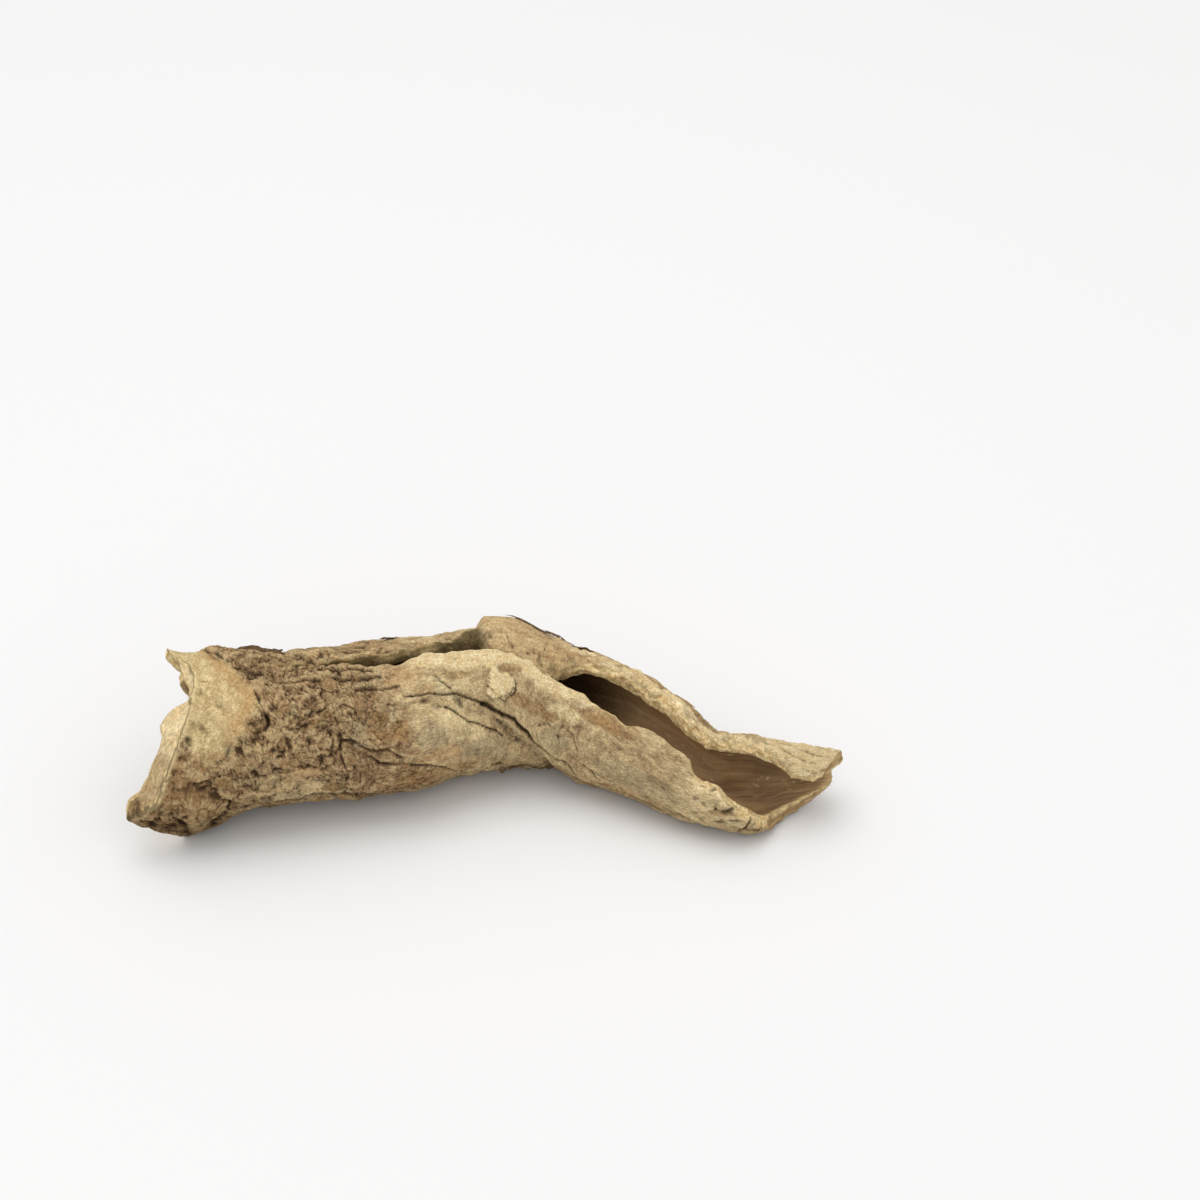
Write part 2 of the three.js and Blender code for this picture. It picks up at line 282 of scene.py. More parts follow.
bark = dict(
    ridge=[
        (-60, -44.5), (-23, -43.5), (-18, -41.3), (-12, -40.0), (-7, -39.4), (4, -38.7), (22, -37.6),
        (32, -37.0), (49, -36.1), (60, -35.8), (84, -35.5), (96, -36.1), (106, -37.5), (115, -38.9),
        (136, -39.5),
    ],
    saddleEnd=[
        (-20, -36.5), (11, -35.3), (14, -33.2), (31, -30.8), (50, -29.4), (63, -28.4), (70, -28.7),
        (79, -29.6), (90, -30.7), (105, -32.1), (116, -33.3), (136, -35.5),
    ],
    saddleFloor=[
        (-44, 24), (-36.7, 34), (-35.8, 30), (-34.8, 17), (-33.7, 13), (-32.4, 14), (-30.8, 31), (-29, 46),
    ],
    lump=3.3,  # width of the crumpled cork's lumps
    lumpHeight=0.44,
    crease=0.26,  # depth of the thin creases between lumps
    layer=0.30,  # thickness of one flaking layer of cork
    strand=0.40,  # width of a bundle of fibres
    grain=0.045,  # height of the finest roughness
    cracks=[  # (half width, depth, lift of the upper lip, places)
        (0.13, 0.50, 0.12, [(-11.0, 55), (-9.3, 55), (-7.9, 52), (-6.2, 51), (-4.3, 47), (-2.1, 39)]),
        (0.33, 1.10, 0.22, [(-2.1, 39), (-0.8, 34), (1.1, 29), (3.6, 25), (6.2, 17), (7.6, 8), (9.2, 2)]),
        (0.27, 0.90, 0.22, [(9.2, 2), (11.2, -3), (13.2, -7), (14.8, -15), (16.2, -26)]),
        (0.24, 0.80, 0.25, [(-1.0, -24), (2.5, -28), (5.2, -33), (8.0, -31), (12.5, -33)]),
        (0.10, 0.40, 0.00, [(-1.3, 52), (-0.4, 46), (1.2, 43), (2.6, 47), (3.5, 53)]),
        (0.11, 0.35, 0.14, [(6.9, -245), (6.8, -252), (6.2, -258), (5.9, -264), (5.2, -268)]),
        (0.18, 0.30, 0.10, [(0.6, -254), (1.7, -249), (2.4, -250), (3.0, -257), (4.2, -260), (5.4, -258)]),
        (0.10, 0.40, 0.08, [(-8.4, 66), (-7.1, 57), (-6.3, 51)]),
        (0.15, 0.48, 0.18,
         [(-7.6, 41), (-6.7, 37), (-5.6, 31), (-3.8, 24), (-2.6, 20), (-1.0, 15), (1.2, 8)]),
        (0.20, 0.45, 0.26,
         [(-14.8, 11), (-13.6, 5), (-11.8, 6), (-10.5, 0), (-9.0, -5), (-5.8, -26), (-3.5, -35)]),
        (0.18, 0.42, 0.22, [(-19.4, 26), (-17.7, 28), (-14.7, 16), (-12.7, 18), (-11.6, 10)]),
        (0.13, 0.55, 0.28, [(-28.6, 68), (-28.2, 65), (-28.0, 58), (-27.4, 51), (-27.2, 45), (-27.6, 40)]),
        (0.10, 0.35, 0.15, [(-27.1, 37), (-25.3, 38), (-23.6, 41), (-22.3, 44), (-21.2, 45)]),
        (0.12, 0.40, 0.20, [(-21.3, 43), (-19.8, 47), (-18.6, 54), (-17.3, 50)]),
        (0.10, 0.30, 0.12, [(-23.2, 71), (-22.2, 65), (-21.1, 69), (-19.0, 66)]),
        (0.09, 0.30, 0.10, [(-28.2, 34), (-27.7, 19), (-28.0, 6), (-28.6, -2)]),
        (0.09, 0.28, 0.10, [(-27.1, 22), (-24.9, 20), (-23.8, 23)]),
        (0.16, 0.45, 0.16, [(-35.2, 1), (-34.2, 2), (-33.2, -1)]),
        (0.15, 0.42, 0.14, [(-35.0, -5), (-34.0, -3), (-32.9, -6)]),
        (0.17, 0.65, 0.28, [(-19.8, 76), (-18.5, 74), (-16.6, 71), (-14.8, 71), (-13.2, 73)]),
        (0.17, 0.65, 0.28, [(-20.6, 84), (-18.6, 82), (-16.4, 81), (-14.0, 78)]),
        (0.14, 0.55, 0.25, [(-25.6, 79), (-23.8, 77), (-22.4, 78), (-20.9, 75)]),
        (0.14, 0.50, 0.25, [(-16.5, 63), (-15.2, 64.5), (-13.0, 63), (-11.6, 65)]),
        (0.22, 0.20, 0.10,
         [(8.2, 24), (9.4, 27), (10.6, 24.5), (12.2, 28), (13.6, 29), (15.0, 33), (16.4, 31)]),
        (0.18, 0.20, 0.06, [(12.2, 27), (11.6, 21), (12.0, 15), (12.4, 10)]),
        (0.18, 0.20, 0.06, [(13.2, 25), (14.6, 22), (15.2, 15), (15.7, 9)]),
        (0.24, 0.65, 0.18, [(16.8, -4), (18.5, -8), (20.2, -12)]),
        (0.26, 0.75, 0.22, [(17.8, -9), (19.5, -20), (21.6, -26), (24.1, -25), (25.9, -24)]),
        (0.24, 0.65, 0.20, [(15.4, -22), (17.4, -40), (20.1, -38)]),
        (0.24, 0.90, 0.50, [(29, -60), (31.8, -46), (32.9, -34), (33.5, -24), (33.9, -13)]),
        (0.14, 0.45, 0.20, [(-24, -120), (-16, -131), (-9, -126), (-2, -140)]),
        (0.13, 0.40, 0.15, [(2, -165), (9, -158), (16, -171), (23, -160)]),
        (0.13, 0.35, 0.12, [(-31, -170), (-22, -178), (-14, -172)]),
    ],
    pits=[  # (place, angle, half length, half height, depth)
        (-21.5, 69, 0.6, 0.35, 0.45), (-14.8, 60, 0.25, 0.2, 0.3), (-27.3, 26, 0.7, 0.42, 0.55),
        (-30.3, 27, 0.35, 0.5, 0.4), (-30.6, 15, 0.3, 0.6, 0.35), (-26.3, 9, 0.8, 0.35, 0.35),
        (-24.8, 20, 0.5, 0.3, 0.3), (-23.0, 31, 0.4, 0.3, 0.35), (-19.3, -24, 0.4, 0.4, 0.35),
        (0.6, -36, 1.3, 0.3, 0.6), (11.2, -36, 1.0, 0.3, 0.5), (-17.2, -8, 0.35, 0.25, 0.3),
    ],
    knobs=[  # (place, angle, half size, height)
        (-35.3, 11, 0.65, 0.30), (-34.3, -14, 1.0, 0.22), (-18.3, -32, 0.65, 0.30), (-27.6, 80, 0.6, 0.25),
        (29.2, 24, 0.9, 0.30), (29.6, 4, 0.8, 0.30), (32.2, -18, 0.9, 0.40), (16.6, 55, 0.8, 0.25),
        (19.3, 55, 0.9, 0.28), (21.2, 50, 0.8, 0.22),
    ],
    scalePlace=(-14.9, 54),  # a round cork scale
    scaleRadius=2.2,
    nodeRing=-19.1,  # a step round the quill, where a leaf or root scar was
    flake=(1.0, 55, 2.3, 1.45),  # a thin cream flake on the lobe: place, angle, half length, half height
    lobeRimWidth=[(-10, 1.6), (-4, 3.4), (2, 2.6), (8, 2.4), (14, 1.4), (20, 0.8)],
    farRimWidth=[(7, 4.6), (13, 4.2), (18, 3.2), (24, 2.0), (34, 1.2)],
    lowBand=[(-28, -2), (-24, -12), (-19, -28), (-14, -52), (-8, -60), (-2, -62)],
    lowBandWidth=1.5,
    peelLevels=(-0.5, -0.15, 0.2, 0.55),  # where the layers of cork break off
    # patches of colour: (place, angle, half length, half height)
    pale=[
        (-5.6, 29, 3.2, 2.6), (-7.6, 42, 2.4, 1.2), (-9.6, 60, 1.6, 1.2), (-7.5, -250, 2.2, 0.35),
        (-5.0, -247, 1.6, 0.3), (11.8, 40, 3.0, 0.9), (-6.5, 58, 2.4, 0.9),
    ],
    grey=[
        (-9.2, 20, 1.4, 1.6), (-2.0, 2, 3.8, 1.6), (11.4, 14, 3.0, 1.4), (-16.0, 30, 1.8, 1.4),
        (22.5, 6, 4.0, 2.2), (-13.0, 40, 1.2, 1.8), (-23.5, -20, 4.5, 1.6),
    ],
    brown=[
        (2.4, 67, 1.8, 0.5), (2.2, 47, 1.6, 0.7), (4.6, 42, 1.7, 0.9), (7.2, 38, 1.7, 0.9),
        (9.8, 33, 1.6, 0.7), (18.8, 50, 3.0, 1.3), (-13.5, 30, 1.6, 1.6), (-8.5, -18, 5.0, 1.4),
        (-5.2, 63, 1.6, 0.5), (16.2, 52, 1.2, 0.7), (31.2, 2, 1.4, 0.5), (12.5, -215, 5.0, 1.0),
        (22.0, -222, 5.0, 1.0),
    ],
    orange=[
        (-11.0, 70, 1.8, 1.4), (-9.4, 58, 1.4, 0.8), (-11.6, 30, 0.7, 1.4), (-24.0, 4, 2.0, 1.0),
        (17.2, 46, 2.4, 0.8), (9.5, -255, 2.6, 1.0), (13.2, -257, 2.2, 0.9), (-8.5, 4, 2.2, 0.9),
        (2.2, -24, 3.0, 0.8), (9.0, -28, 4.0, 0.8),
    ],
)


def patternPlace(x, angle):
    # Millimetres along and round the quill, pushed about by noise so that no pattern runs straight.
    u, v = x, girth(angle)
    pushU = 0.5 * layered(u / 2.9, v / 2.9, 2, 11) + 0.12 * layered(u / 0.75, v / 0.75, 2, 13)
    pushV = 0.5 * layered(u / 2.9, v / 2.9, 2, 15) + 0.12 * layered(u / 0.75, v / 0.75, 2, 17)
    return u + pushU, v + pushV


def spots(x, angle, places, ragged):
    # The largest of several patches, each a bell cut off at an uneven border.
    bells = np.max([spot(x, angle, p[:2], p[2], p[3]) for p in places], axis=0)
    return smooth(0.12, 0.55, bells + 0.22 * ragged)


def barkZones(x, angle):
    # Where each kind of surface lies, from 0 to 1, with ragged borders.
    u, v = patternPlace(x, angle)
    patternAngle = np.degrees(v / sheet["patternRadius"])
    ragged = layered(u / 1.7, v / 1.7, 4, 21)
    far = angle < sheet["farSide"]
    back = np.where(far, angle + 360, angle)
    near = angle > -100
    toRidge = x - along(bark["ridge"], angle)
    torn = smooth(0.12, -0.12, toRidge + 0.12 * ragged) * smooth(-110, -70, angle)
    saddle = smooth(0.5, -0.3, x - along(bark["saddleEnd"], angle) + 0.7 * ragged) * near
    overFloor = patternAngle - along(bark["saddleFloor"], x) + 3 * ragged
    saddle = saddle * smooth(-1.5, 2.5, overFloor) * (1 - torn)
    rightOf = smooth(-12.6, -10.8, x + 0.9 * ragged + 0.05 * (angle - 30) * near)
    cork = (1 - rightOf) * (1 - saddle) * (1 - torn)
    lowLeft = smooth(-31.5, -33, x + ragged) * smooth(30, 20, angle) * smooth(-22, -10, angle + 5 * ragged)
    foot = smooth(-30, -33, x + ragged) * smooth(-10, -20, angle + 5 * ragged) * (angle > -120)
    pastRing = smooth(-18.6, -17.6, x + 0.4 * ragged) * smooth(45, 30, angle)
    rough = cork * (1 - 0.8 * lowLeft) * (1 - 0.6 * pastRing)
    rough = np.maximum(rough, rightOf * 0.35 * smooth(-24, -44, angle + 14 * ragged))
    patches = ("pale", "grey", "brown", "orange")
    pale, grey, brown, orange = (spots(x, angle, bark[name], ragged) for name in patches)
    rimBand = (along(sheet["nearEdge"], x) - angle) * 0.15  # millimetres down from the near edge
    rimWide = along(bark["lobeRimWidth"], x)
    lobeRim = smooth(rimWide + 0.5, rimWide - 0.7, rimBand + 0.5 * ragged) * smooth(-11.5, -9, x) * near
    lobeRim = lobeRim * (1 - 0.6 * smooth(16, 20, x))
    rimWide = along(bark["farRimWidth"], x)
    farRim = smooth(rimWide, rimWide - 0.7, (back - along(sheet["farEdge"], x)) * 0.12 + 0.5 * ragged)
    farRim = far * farRim * smooth(-0.3, 0.5, x - 5.7 - 0.055 * (back - 92) + 0.3 * ragged)
    stained = farRim * smooth(-0.05, 0.35, layered(u / 2.2, v / 0.9, 3, 27)) * smooth(20, 14, x)
    brown = np.maximum(brown, 0.9 * stained)
    flap = far * smooth(33.5, 35.5, x + 0.5 * ragged)
    lowEnd = smooth(31.5, 34.0, x + 0.4 * ragged) * smooth(-28, -36, angle) * smooth(-140, -105, angle)
    knob = smooth(26.2, 28.5, x + 0.9 * ragged) * smooth(-34, -14, angle + 8 * ragged) * near * (1 - lowEnd)
    band = hump(v - girth(along(bark["lowBand"], x)), 0, bark["lowBandWidth"]) * smooth(-29.5, -27, x)
    band = band * smooth(-18.5, -19.6, x) * near
    place, placeAngle, halfLength, halfHeight = bark["flake"]
    away = np.hypot((u - place) / halfLength, (v - girth(placeAngle)) / halfHeight)
    away = away + 0.42 * layered(x / 1.3, angle / 8.8, 4, 26)
    flake = smooth(1.04, 0.96, away) * near
    # Painted shadow: a thin band just outside the flake's lower border.
    flakeShadow = hump(away, 1.12, 0.12) * smooth(57, 50, angle - 3 * (x - 1)) * near
    tongue = far * smooth(0.0, 0.6, x) * smooth(10.5, 8.5, x + 0.5 * ragged)
    farBand = far * smooth(-27, -25, x) * smooth(0.2, -0.4, x)
    fromEdge = (back - along(sheet["farEdge"], x)) / 2.6
    # Painted shade on the far band beside the slit, widening towards the tongue.
    slitShade = farBand * smooth(0.6, -1.2, fromEdge - (x + 5.2) - 1.0 * ragged)
    cream = clamp01(0.7 * knob + lobeRim + (0.8 + 0.4 * smooth(15, 20, x)) * farRim + 0.9 * flap + flake)
    fibre = clamp01(np.maximum(saddle, 0.75 * band * smooth(-0.6, 0.3, ragged)) + cream + torn)
    return dict(
        u=u, v=v, ragged=ragged, torn=torn, saddle=saddle, rough=rough * (1 - fibre), fibre=fibre,
        cork=cork * (1 - fibre), foot=foot, lowEnd=lowEnd, pale=clamp01(pale) * (1 - fibre),
        brown=clamp01(brown) * (1 - flake), grey=clamp01(grey) * (1 - fibre), right=rightOf,
        orange=clamp01(orange) * (1 - 0.6 * fibre), tongue=tongue, knob=knob, flap=flap, farRim=farRim,
        band=band, flake=flake, flakeShadow=flakeShadow, farBand=farBand, lowLeft=lowLeft, toRidge=toRidge,
        slitShade=slitShade,
    )


def barkRelief(x, angle, zone):
    # Height over the plain sheet: lumps with thin creases, flaking layers, fibres, cracks, pits and knobs.
    u, v, rough, fibre = zone["u"], zone["v"], zone["rough"], zone["fibre"]
    calm = 1 - 0.8 * np.maximum(zone["tongue"], zone["saddle"])
    size = bark["lump"]
    lumps = np.abs(layered(u / size, v / (0.85 * size), 3, 31))
    small = np.abs(layered(u / (0.4 * size) + 7, v / (0.34 * size), 3, 35))
    share = (0.22 + 0.78 * rough) * calm * (1 - 0.6 * fibre)
    swell = np.minimum(lumps, 0.75) - 0.3 + 0.35 * np.minimum(small, 0.7) - 0.10
    height = share * bark["lumpHeight"] * swell
    some = smooth(-0.5, 0.3, layered(u / 3.1, v / 3.1, 2, 41))
    crease = (1 - smooth(0.0, 0.075, lumps)) * some + 0.6 * (1 - smooth(0.0, 0.09, small)) * (1 - 0.5 * some)
    height -= share * bark["crease"] * crease
    peel = layered(u / 3.2, v / 2.2, 5, 51)
    share = (0.16 + 0.6 * rough) * calm * (1 - 0.8 * fibre)
    for level in bark["peelLevels"]:
        step = smooth(level - 0.03, level + 0.03, peel) - 0.45 * hump(peel, level - 0.05, 0.05)
        height += share * bark["layer"] * step
    height += 0.13 * (1 - 0.5 * fibre) * calm * layered(u / 1.5, v / 1.5, 3, 65)
    height += 0.035 * (1 - rough) * layered(u / 0.5, v / 0.5, 2, 67)
    twist = v + 0.55 * zone["right"] * smooth(2, 10, x) * u
    strands = layered(u / 5.0, twist / bark["strand"], 3, 71)
    low = zone["right"] * smooth(8, 16, x) * smooth(-2, -18, angle) * smooth(-75, -45, angle)
    lengthwise = 0.06 + 0.10 * zone["band"] + 0.12 * low + 0.07 * (zone["flap"] + zone["farRim"])
    lengthwise = lengthwise + 0.06 * zone["farBand"] + 0.12 * zone["lowEnd"]
    height += lengthwise * (1 - 0.6 * rough) * (1 - zone["saddle"]) * (1 - zone["torn"]) * strands
    tornStrands = layered(zone["toRidge"] / 0.42, v / 3.4, 3, 75)
    height += (0.22 * zone["torn"] + 0.05 * zone["saddle"]) * tornStrands
    height += 0.22 * hump(zone["toRidge"], 0.25, 0.35) * smooth(98, 84, angle) * smooth(-30, -20, angle)
    height += 0.10 * zone["torn"] * layered(u / 0.6, v / 0.6, 2, 77)
    height += 0.10 * zone["saddle"] * layered(u / 2.2, v / 2.8, 2, 79)
    height += 0.16 * zone["band"] + 0.34 * zone["flake"] - 0.08 * zone["brown"]
    lobes = layered(u / 1.3, v / 1.3, 3, 81)
    height += zone["knob"] * (0.22 + 0.42 * lobes) + (0.42 * zone["farRim"] + 0.20 * zone["flap"]) * lobes
    height += zone["farRim"] * 0.14 * layered(u / 0.55, v / 0.55, 2, 83)
    step = x - bark["nodeRing"] + 0.012 * (angle - 20) + 0.35 * layered(v / 1.6, v * 0, 3, 85)
    front = (angle > -60) * smooth(60, 45, angle)
    height += front * (0.16 * smooth(-0.2, 0.2, step) * smooth(3, 1, step) - 0.20 * hump(step, -0.15, 0.14))
    height += (1 - front) * (angle > -210) * 0.22 * hump(step, 0.6, 0.9)
    upScale = v - girth(bark["scalePlace"][1])
    rim = np.hypot(u - bark["scalePlace"][0], upScale) - bark["scaleRadius"]
    height = height * (1 - 0.7 * smooth(0.1, -0.2, rim)) + 0.20 * smooth(0.1, -0.1, rim)
    height -= 0.16 * smooth(1.5, -1.0, upScale) * hump(rim, 0.14, 0.15)
    crackU, crackV = 0.4 * u + 0.6 * x, 0.4 * v + 0.6 * girth(angle)  # cracks wander less than the patterns
    for width, depth, lift, line in bark["cracks"]:
        away, side = lineDistance(line, crackU, crackV)
        height += lift * (side > 0) * np.exp(-away / 0.8) - depth * np.exp(-((away / width) ** 2))
    patternAngle = np.degrees(v / sheet["patternRadius"])
    for place, placeAngle, halfLength, halfHeight, depth in bark["pits"]:
        height -= depth * spot(u, patternAngle, (place, placeAngle), halfLength, halfHeight)
    for place, placeAngle, half, rise in bark["knobs"]:
        height += rise * spot(x, angle, (place, placeAngle), half, half)
    height -= zone["foot"] * 0.35 * smooth(0.15, 0.6, layered(u / 0.9, v / 0.8, 3, 95))
    return height + bark["grain"] * (0.6 + 0.6 * rough) * layered(u / 0.42, v / 0.42, 2, 91)


def tornSink(x, angle, zone):
    # The torn left face falls from the ridge towards the inner wall.
    start = along(bark["ridge"], angle)
    stop = along(sheet["leftTear"], angle)
    fall = clamp01((start - x) / np.maximum(start - stop, 0.3)) * zone["torn"]
    return 0.4 * smooth(0, 0.12, fall) * smooth(106, 92, angle) + 1.2 * fall**1.3


def innerRelief(x, angle):
    # The smooth inside: fine long ridges, a few shallow waves and small grains that stuck to it.
    u, v = patternPlace(x, angle)
    ridges = layered(u / 10, (v + 0.1 * u) / 0.6, 4, 101)
    height = 0.06 * ridges + 0.12 * layered(u / 4, v / 3, 2, 105) + 0.015 * layered(u / 0.5, v / 0.5, 2, 109)
    grit = smooth(0.70, 0.84, noise(u / 0.45, v / 0.45, 111))
    grit = grit * smooth(0.15, 0.6, noise(u / 2.5, v / 2.5, 115))
    return height + 0.14 * grit, ridges, grit


skin = dict(
    rows=480, columns=200, innerRows=300, innerColumns=120,  # grid points along and round the quill
    innerSetBack=1.8,  # how much further in the inner face starts at the left end's horn
    edgeRounding=0.28, reliefLimit=0.55,
    # raggedness, coarse and fine: of the ends in millimetres, and of the long edges in degrees
    shreds=(0.30, 0.12), nicks=(1.5, 1.0),
)


def sheetPlaces(rows, columns, setBack=0.0):
    # Place and angle of each grid point, with the torn ends and long edges made ragged.
    # The inner face starts a set-back further in at the top of the left end, so the horn there is thin.
    rowShare = np.linspace(0, 1, rows)[:, None]
    share = np.linspace(0, 1, columns)[None, :] + 0 * rowShare
    x = rowPlace(rowShare, share)
    angle = columnAngle(share, x)
    coarse, fine = skin["shreds"]
    shreds = coarse * noise(girth(angle) / 2.3, 0, 121) + fine * noise(girth(angle) / 0.6, 0, 122)
    x = x + shreds * (1 - rowShare) ** 26 * 0.8 + shreds * rowShare**30 * 0.6
    x = x + setBack * hump(angle, 118, 18) * (1 - rowShare) ** 40
    angle = columnAngle(share, x)
    coarse, fine = skin["nicks"]
    nicks = coarse * noise(x / 1.3, 0, 125) + fine * noise(x / 0.55, 0, 126)
    near = 0.45 + 0.7 * smooth(15.5, 17, x) * smooth(24, 22, x)
    far = 0.5 + 1.5 * smooth(7, 9, x) * smooth(34, 26, x)
    return x, angle + nicks * (near * (1 - share) ** 34 + far * share**34), share


def outerRadius(x, angle, share):
    # The plain sheet's radius plus all relief, at each place, with the zones and the height of the relief.
    zone = barkZones(x, angle)
    height = barkRelief(x, angle, zone)
    fromEdge = np.minimum(share, 1 - share) * sheet["fan"] * np.radians(1) * along(sheet["tubeRadius"], x)
    sink = tornSink(x, angle, zone) + skin["edgeRounding"] * np.exp(-fromEdge / 0.35)
    return sheetRadius(x, angle) + lowRelief(x, angle) + clampRelief(height) - sink, zone, height


def clampRelief(height):
    # Bends relief above the surface towards a limit by a hyperbolic tangent; what is below stays.
    limit = skin["reliefLimit"]
    return np.where(height > 0, limit * np.tanh(height / limit), height)


def tubePoint(x, angle, r):
    # Centre line point, plus the radius along side times the cosine and up times the sine of the angle.
    centre, side, up = sheetAxes(x)
    turn = np.radians(angle)[..., None]
    point = centre + r[..., None] * (np.cos(turn) * side + np.sin(turn) * up) + np.array(sheet["origin"])
    point[..., 2] = np.maximum(point[..., 2], 0.0)
    return point


def innerRadius(x, angle):
    # The plain sheet's radius less the wall, with the smooth inside's own relief.
    height, ridges, grit = innerRelief(x, angle)
    return sheetRadius(x, angle) + 0.25 * lowRelief(x, angle) - thicknessAt(x) + height, ridges, grit


def gridQuads(rows, columns, flip=False):
    # Four-sided faces between neighbouring points of a grid; flip turns them over.
    i, j = np.meshgrid(np.arange(rows - 1), np.arange(columns - 1), indexing="ij")
    first = (i * columns + j).ravel()
    quads = np.stack([first, first + 1, first + columns + 1, first + columns], -1)
    return quads[:, ::-1] if flip else quads


def ringFaces(first, count, step):
    # Four-sided faces between closed rings of count points and the rings that start a step further on.
    k = np.arange(count)
    nextK = (k + 1) % count
    return np.stack([first + k, first + k + step, first + nextK + step, first + nextK], -1).reshape(-1, 4)


def placeObject(name, data):
    # An object for a mesh, lamp or camera, put into the scene.
    made = bpy.data.objects.new(name, data)
    bpy.context.scene.collection.objects.link(made)
    return made


def makePiece(name, points, faces, material, masks, patternUv):
    # Whole arrays go into one mesh: points in millimetres, faces, masks as attributes, pattern places as UV.
    mesh = bpy.data.meshes.new(name)
    points = np.ascontiguousarray(points.reshape(-1, 3) * mm, dtype=np.float32)
    sides = faces.shape[1]
    mesh.vertices.add(len(points))
    mesh.vertices.foreach_set("co", points.ravel())
    mesh.loops.add(faces.size)
    mesh.loops.foreach_set("vertex_index", np.ascontiguousarray(faces, dtype=np.int32).ravel())
    mesh.polygons.add(len(faces))
    mesh.polygons.foreach_set("loop_start", np.arange(0, faces.size, sides, dtype=np.int32))
    mesh.polygons.foreach_set("loop_total", np.full(len(faces), sides, dtype=np.int32))
    mesh.polygons.foreach_set("use_smooth", np.ones(len(faces), dtype=bool))
    mesh.update(calc_edges=True)
    uv = mesh.uv_layers.new(name="pattern")
    uv.data.foreach_set("uv", patternUv.reshape(-1, 2)[faces.ravel()].astype(np.float32).ravel())
    for maskName, values in masks.items():
        attribute = mesh.attributes.new(maskName, "FLOAT", "POINT")
        attribute.data.foreach_set("value", np.asarray(values, dtype=np.float32).ravel())
    mesh.materials.append(material)
    piece = placeObject(name, mesh)
    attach(piece, "root")
    print("made", name, "with", len(faces), "faces")
    return piece


def blurred(height, reach):
    # Mean of the neighbours within a reach of grid steps, along rows and then along columns.
    for axis in (0, 1):
        pad = [(0, 0), (0, 0)]
        pad[axis] = (reach + 1, reach)
        total = np.cumsum(np.pad(height, pad, mode="edge"), axis=axis)
        count = 2 * reach + 1
        if axis == 0:
            height = (total[count:] - total[:-count]) / count
        else:
            height = (total[:, count:] - total[:, :-count]) / count
    return height


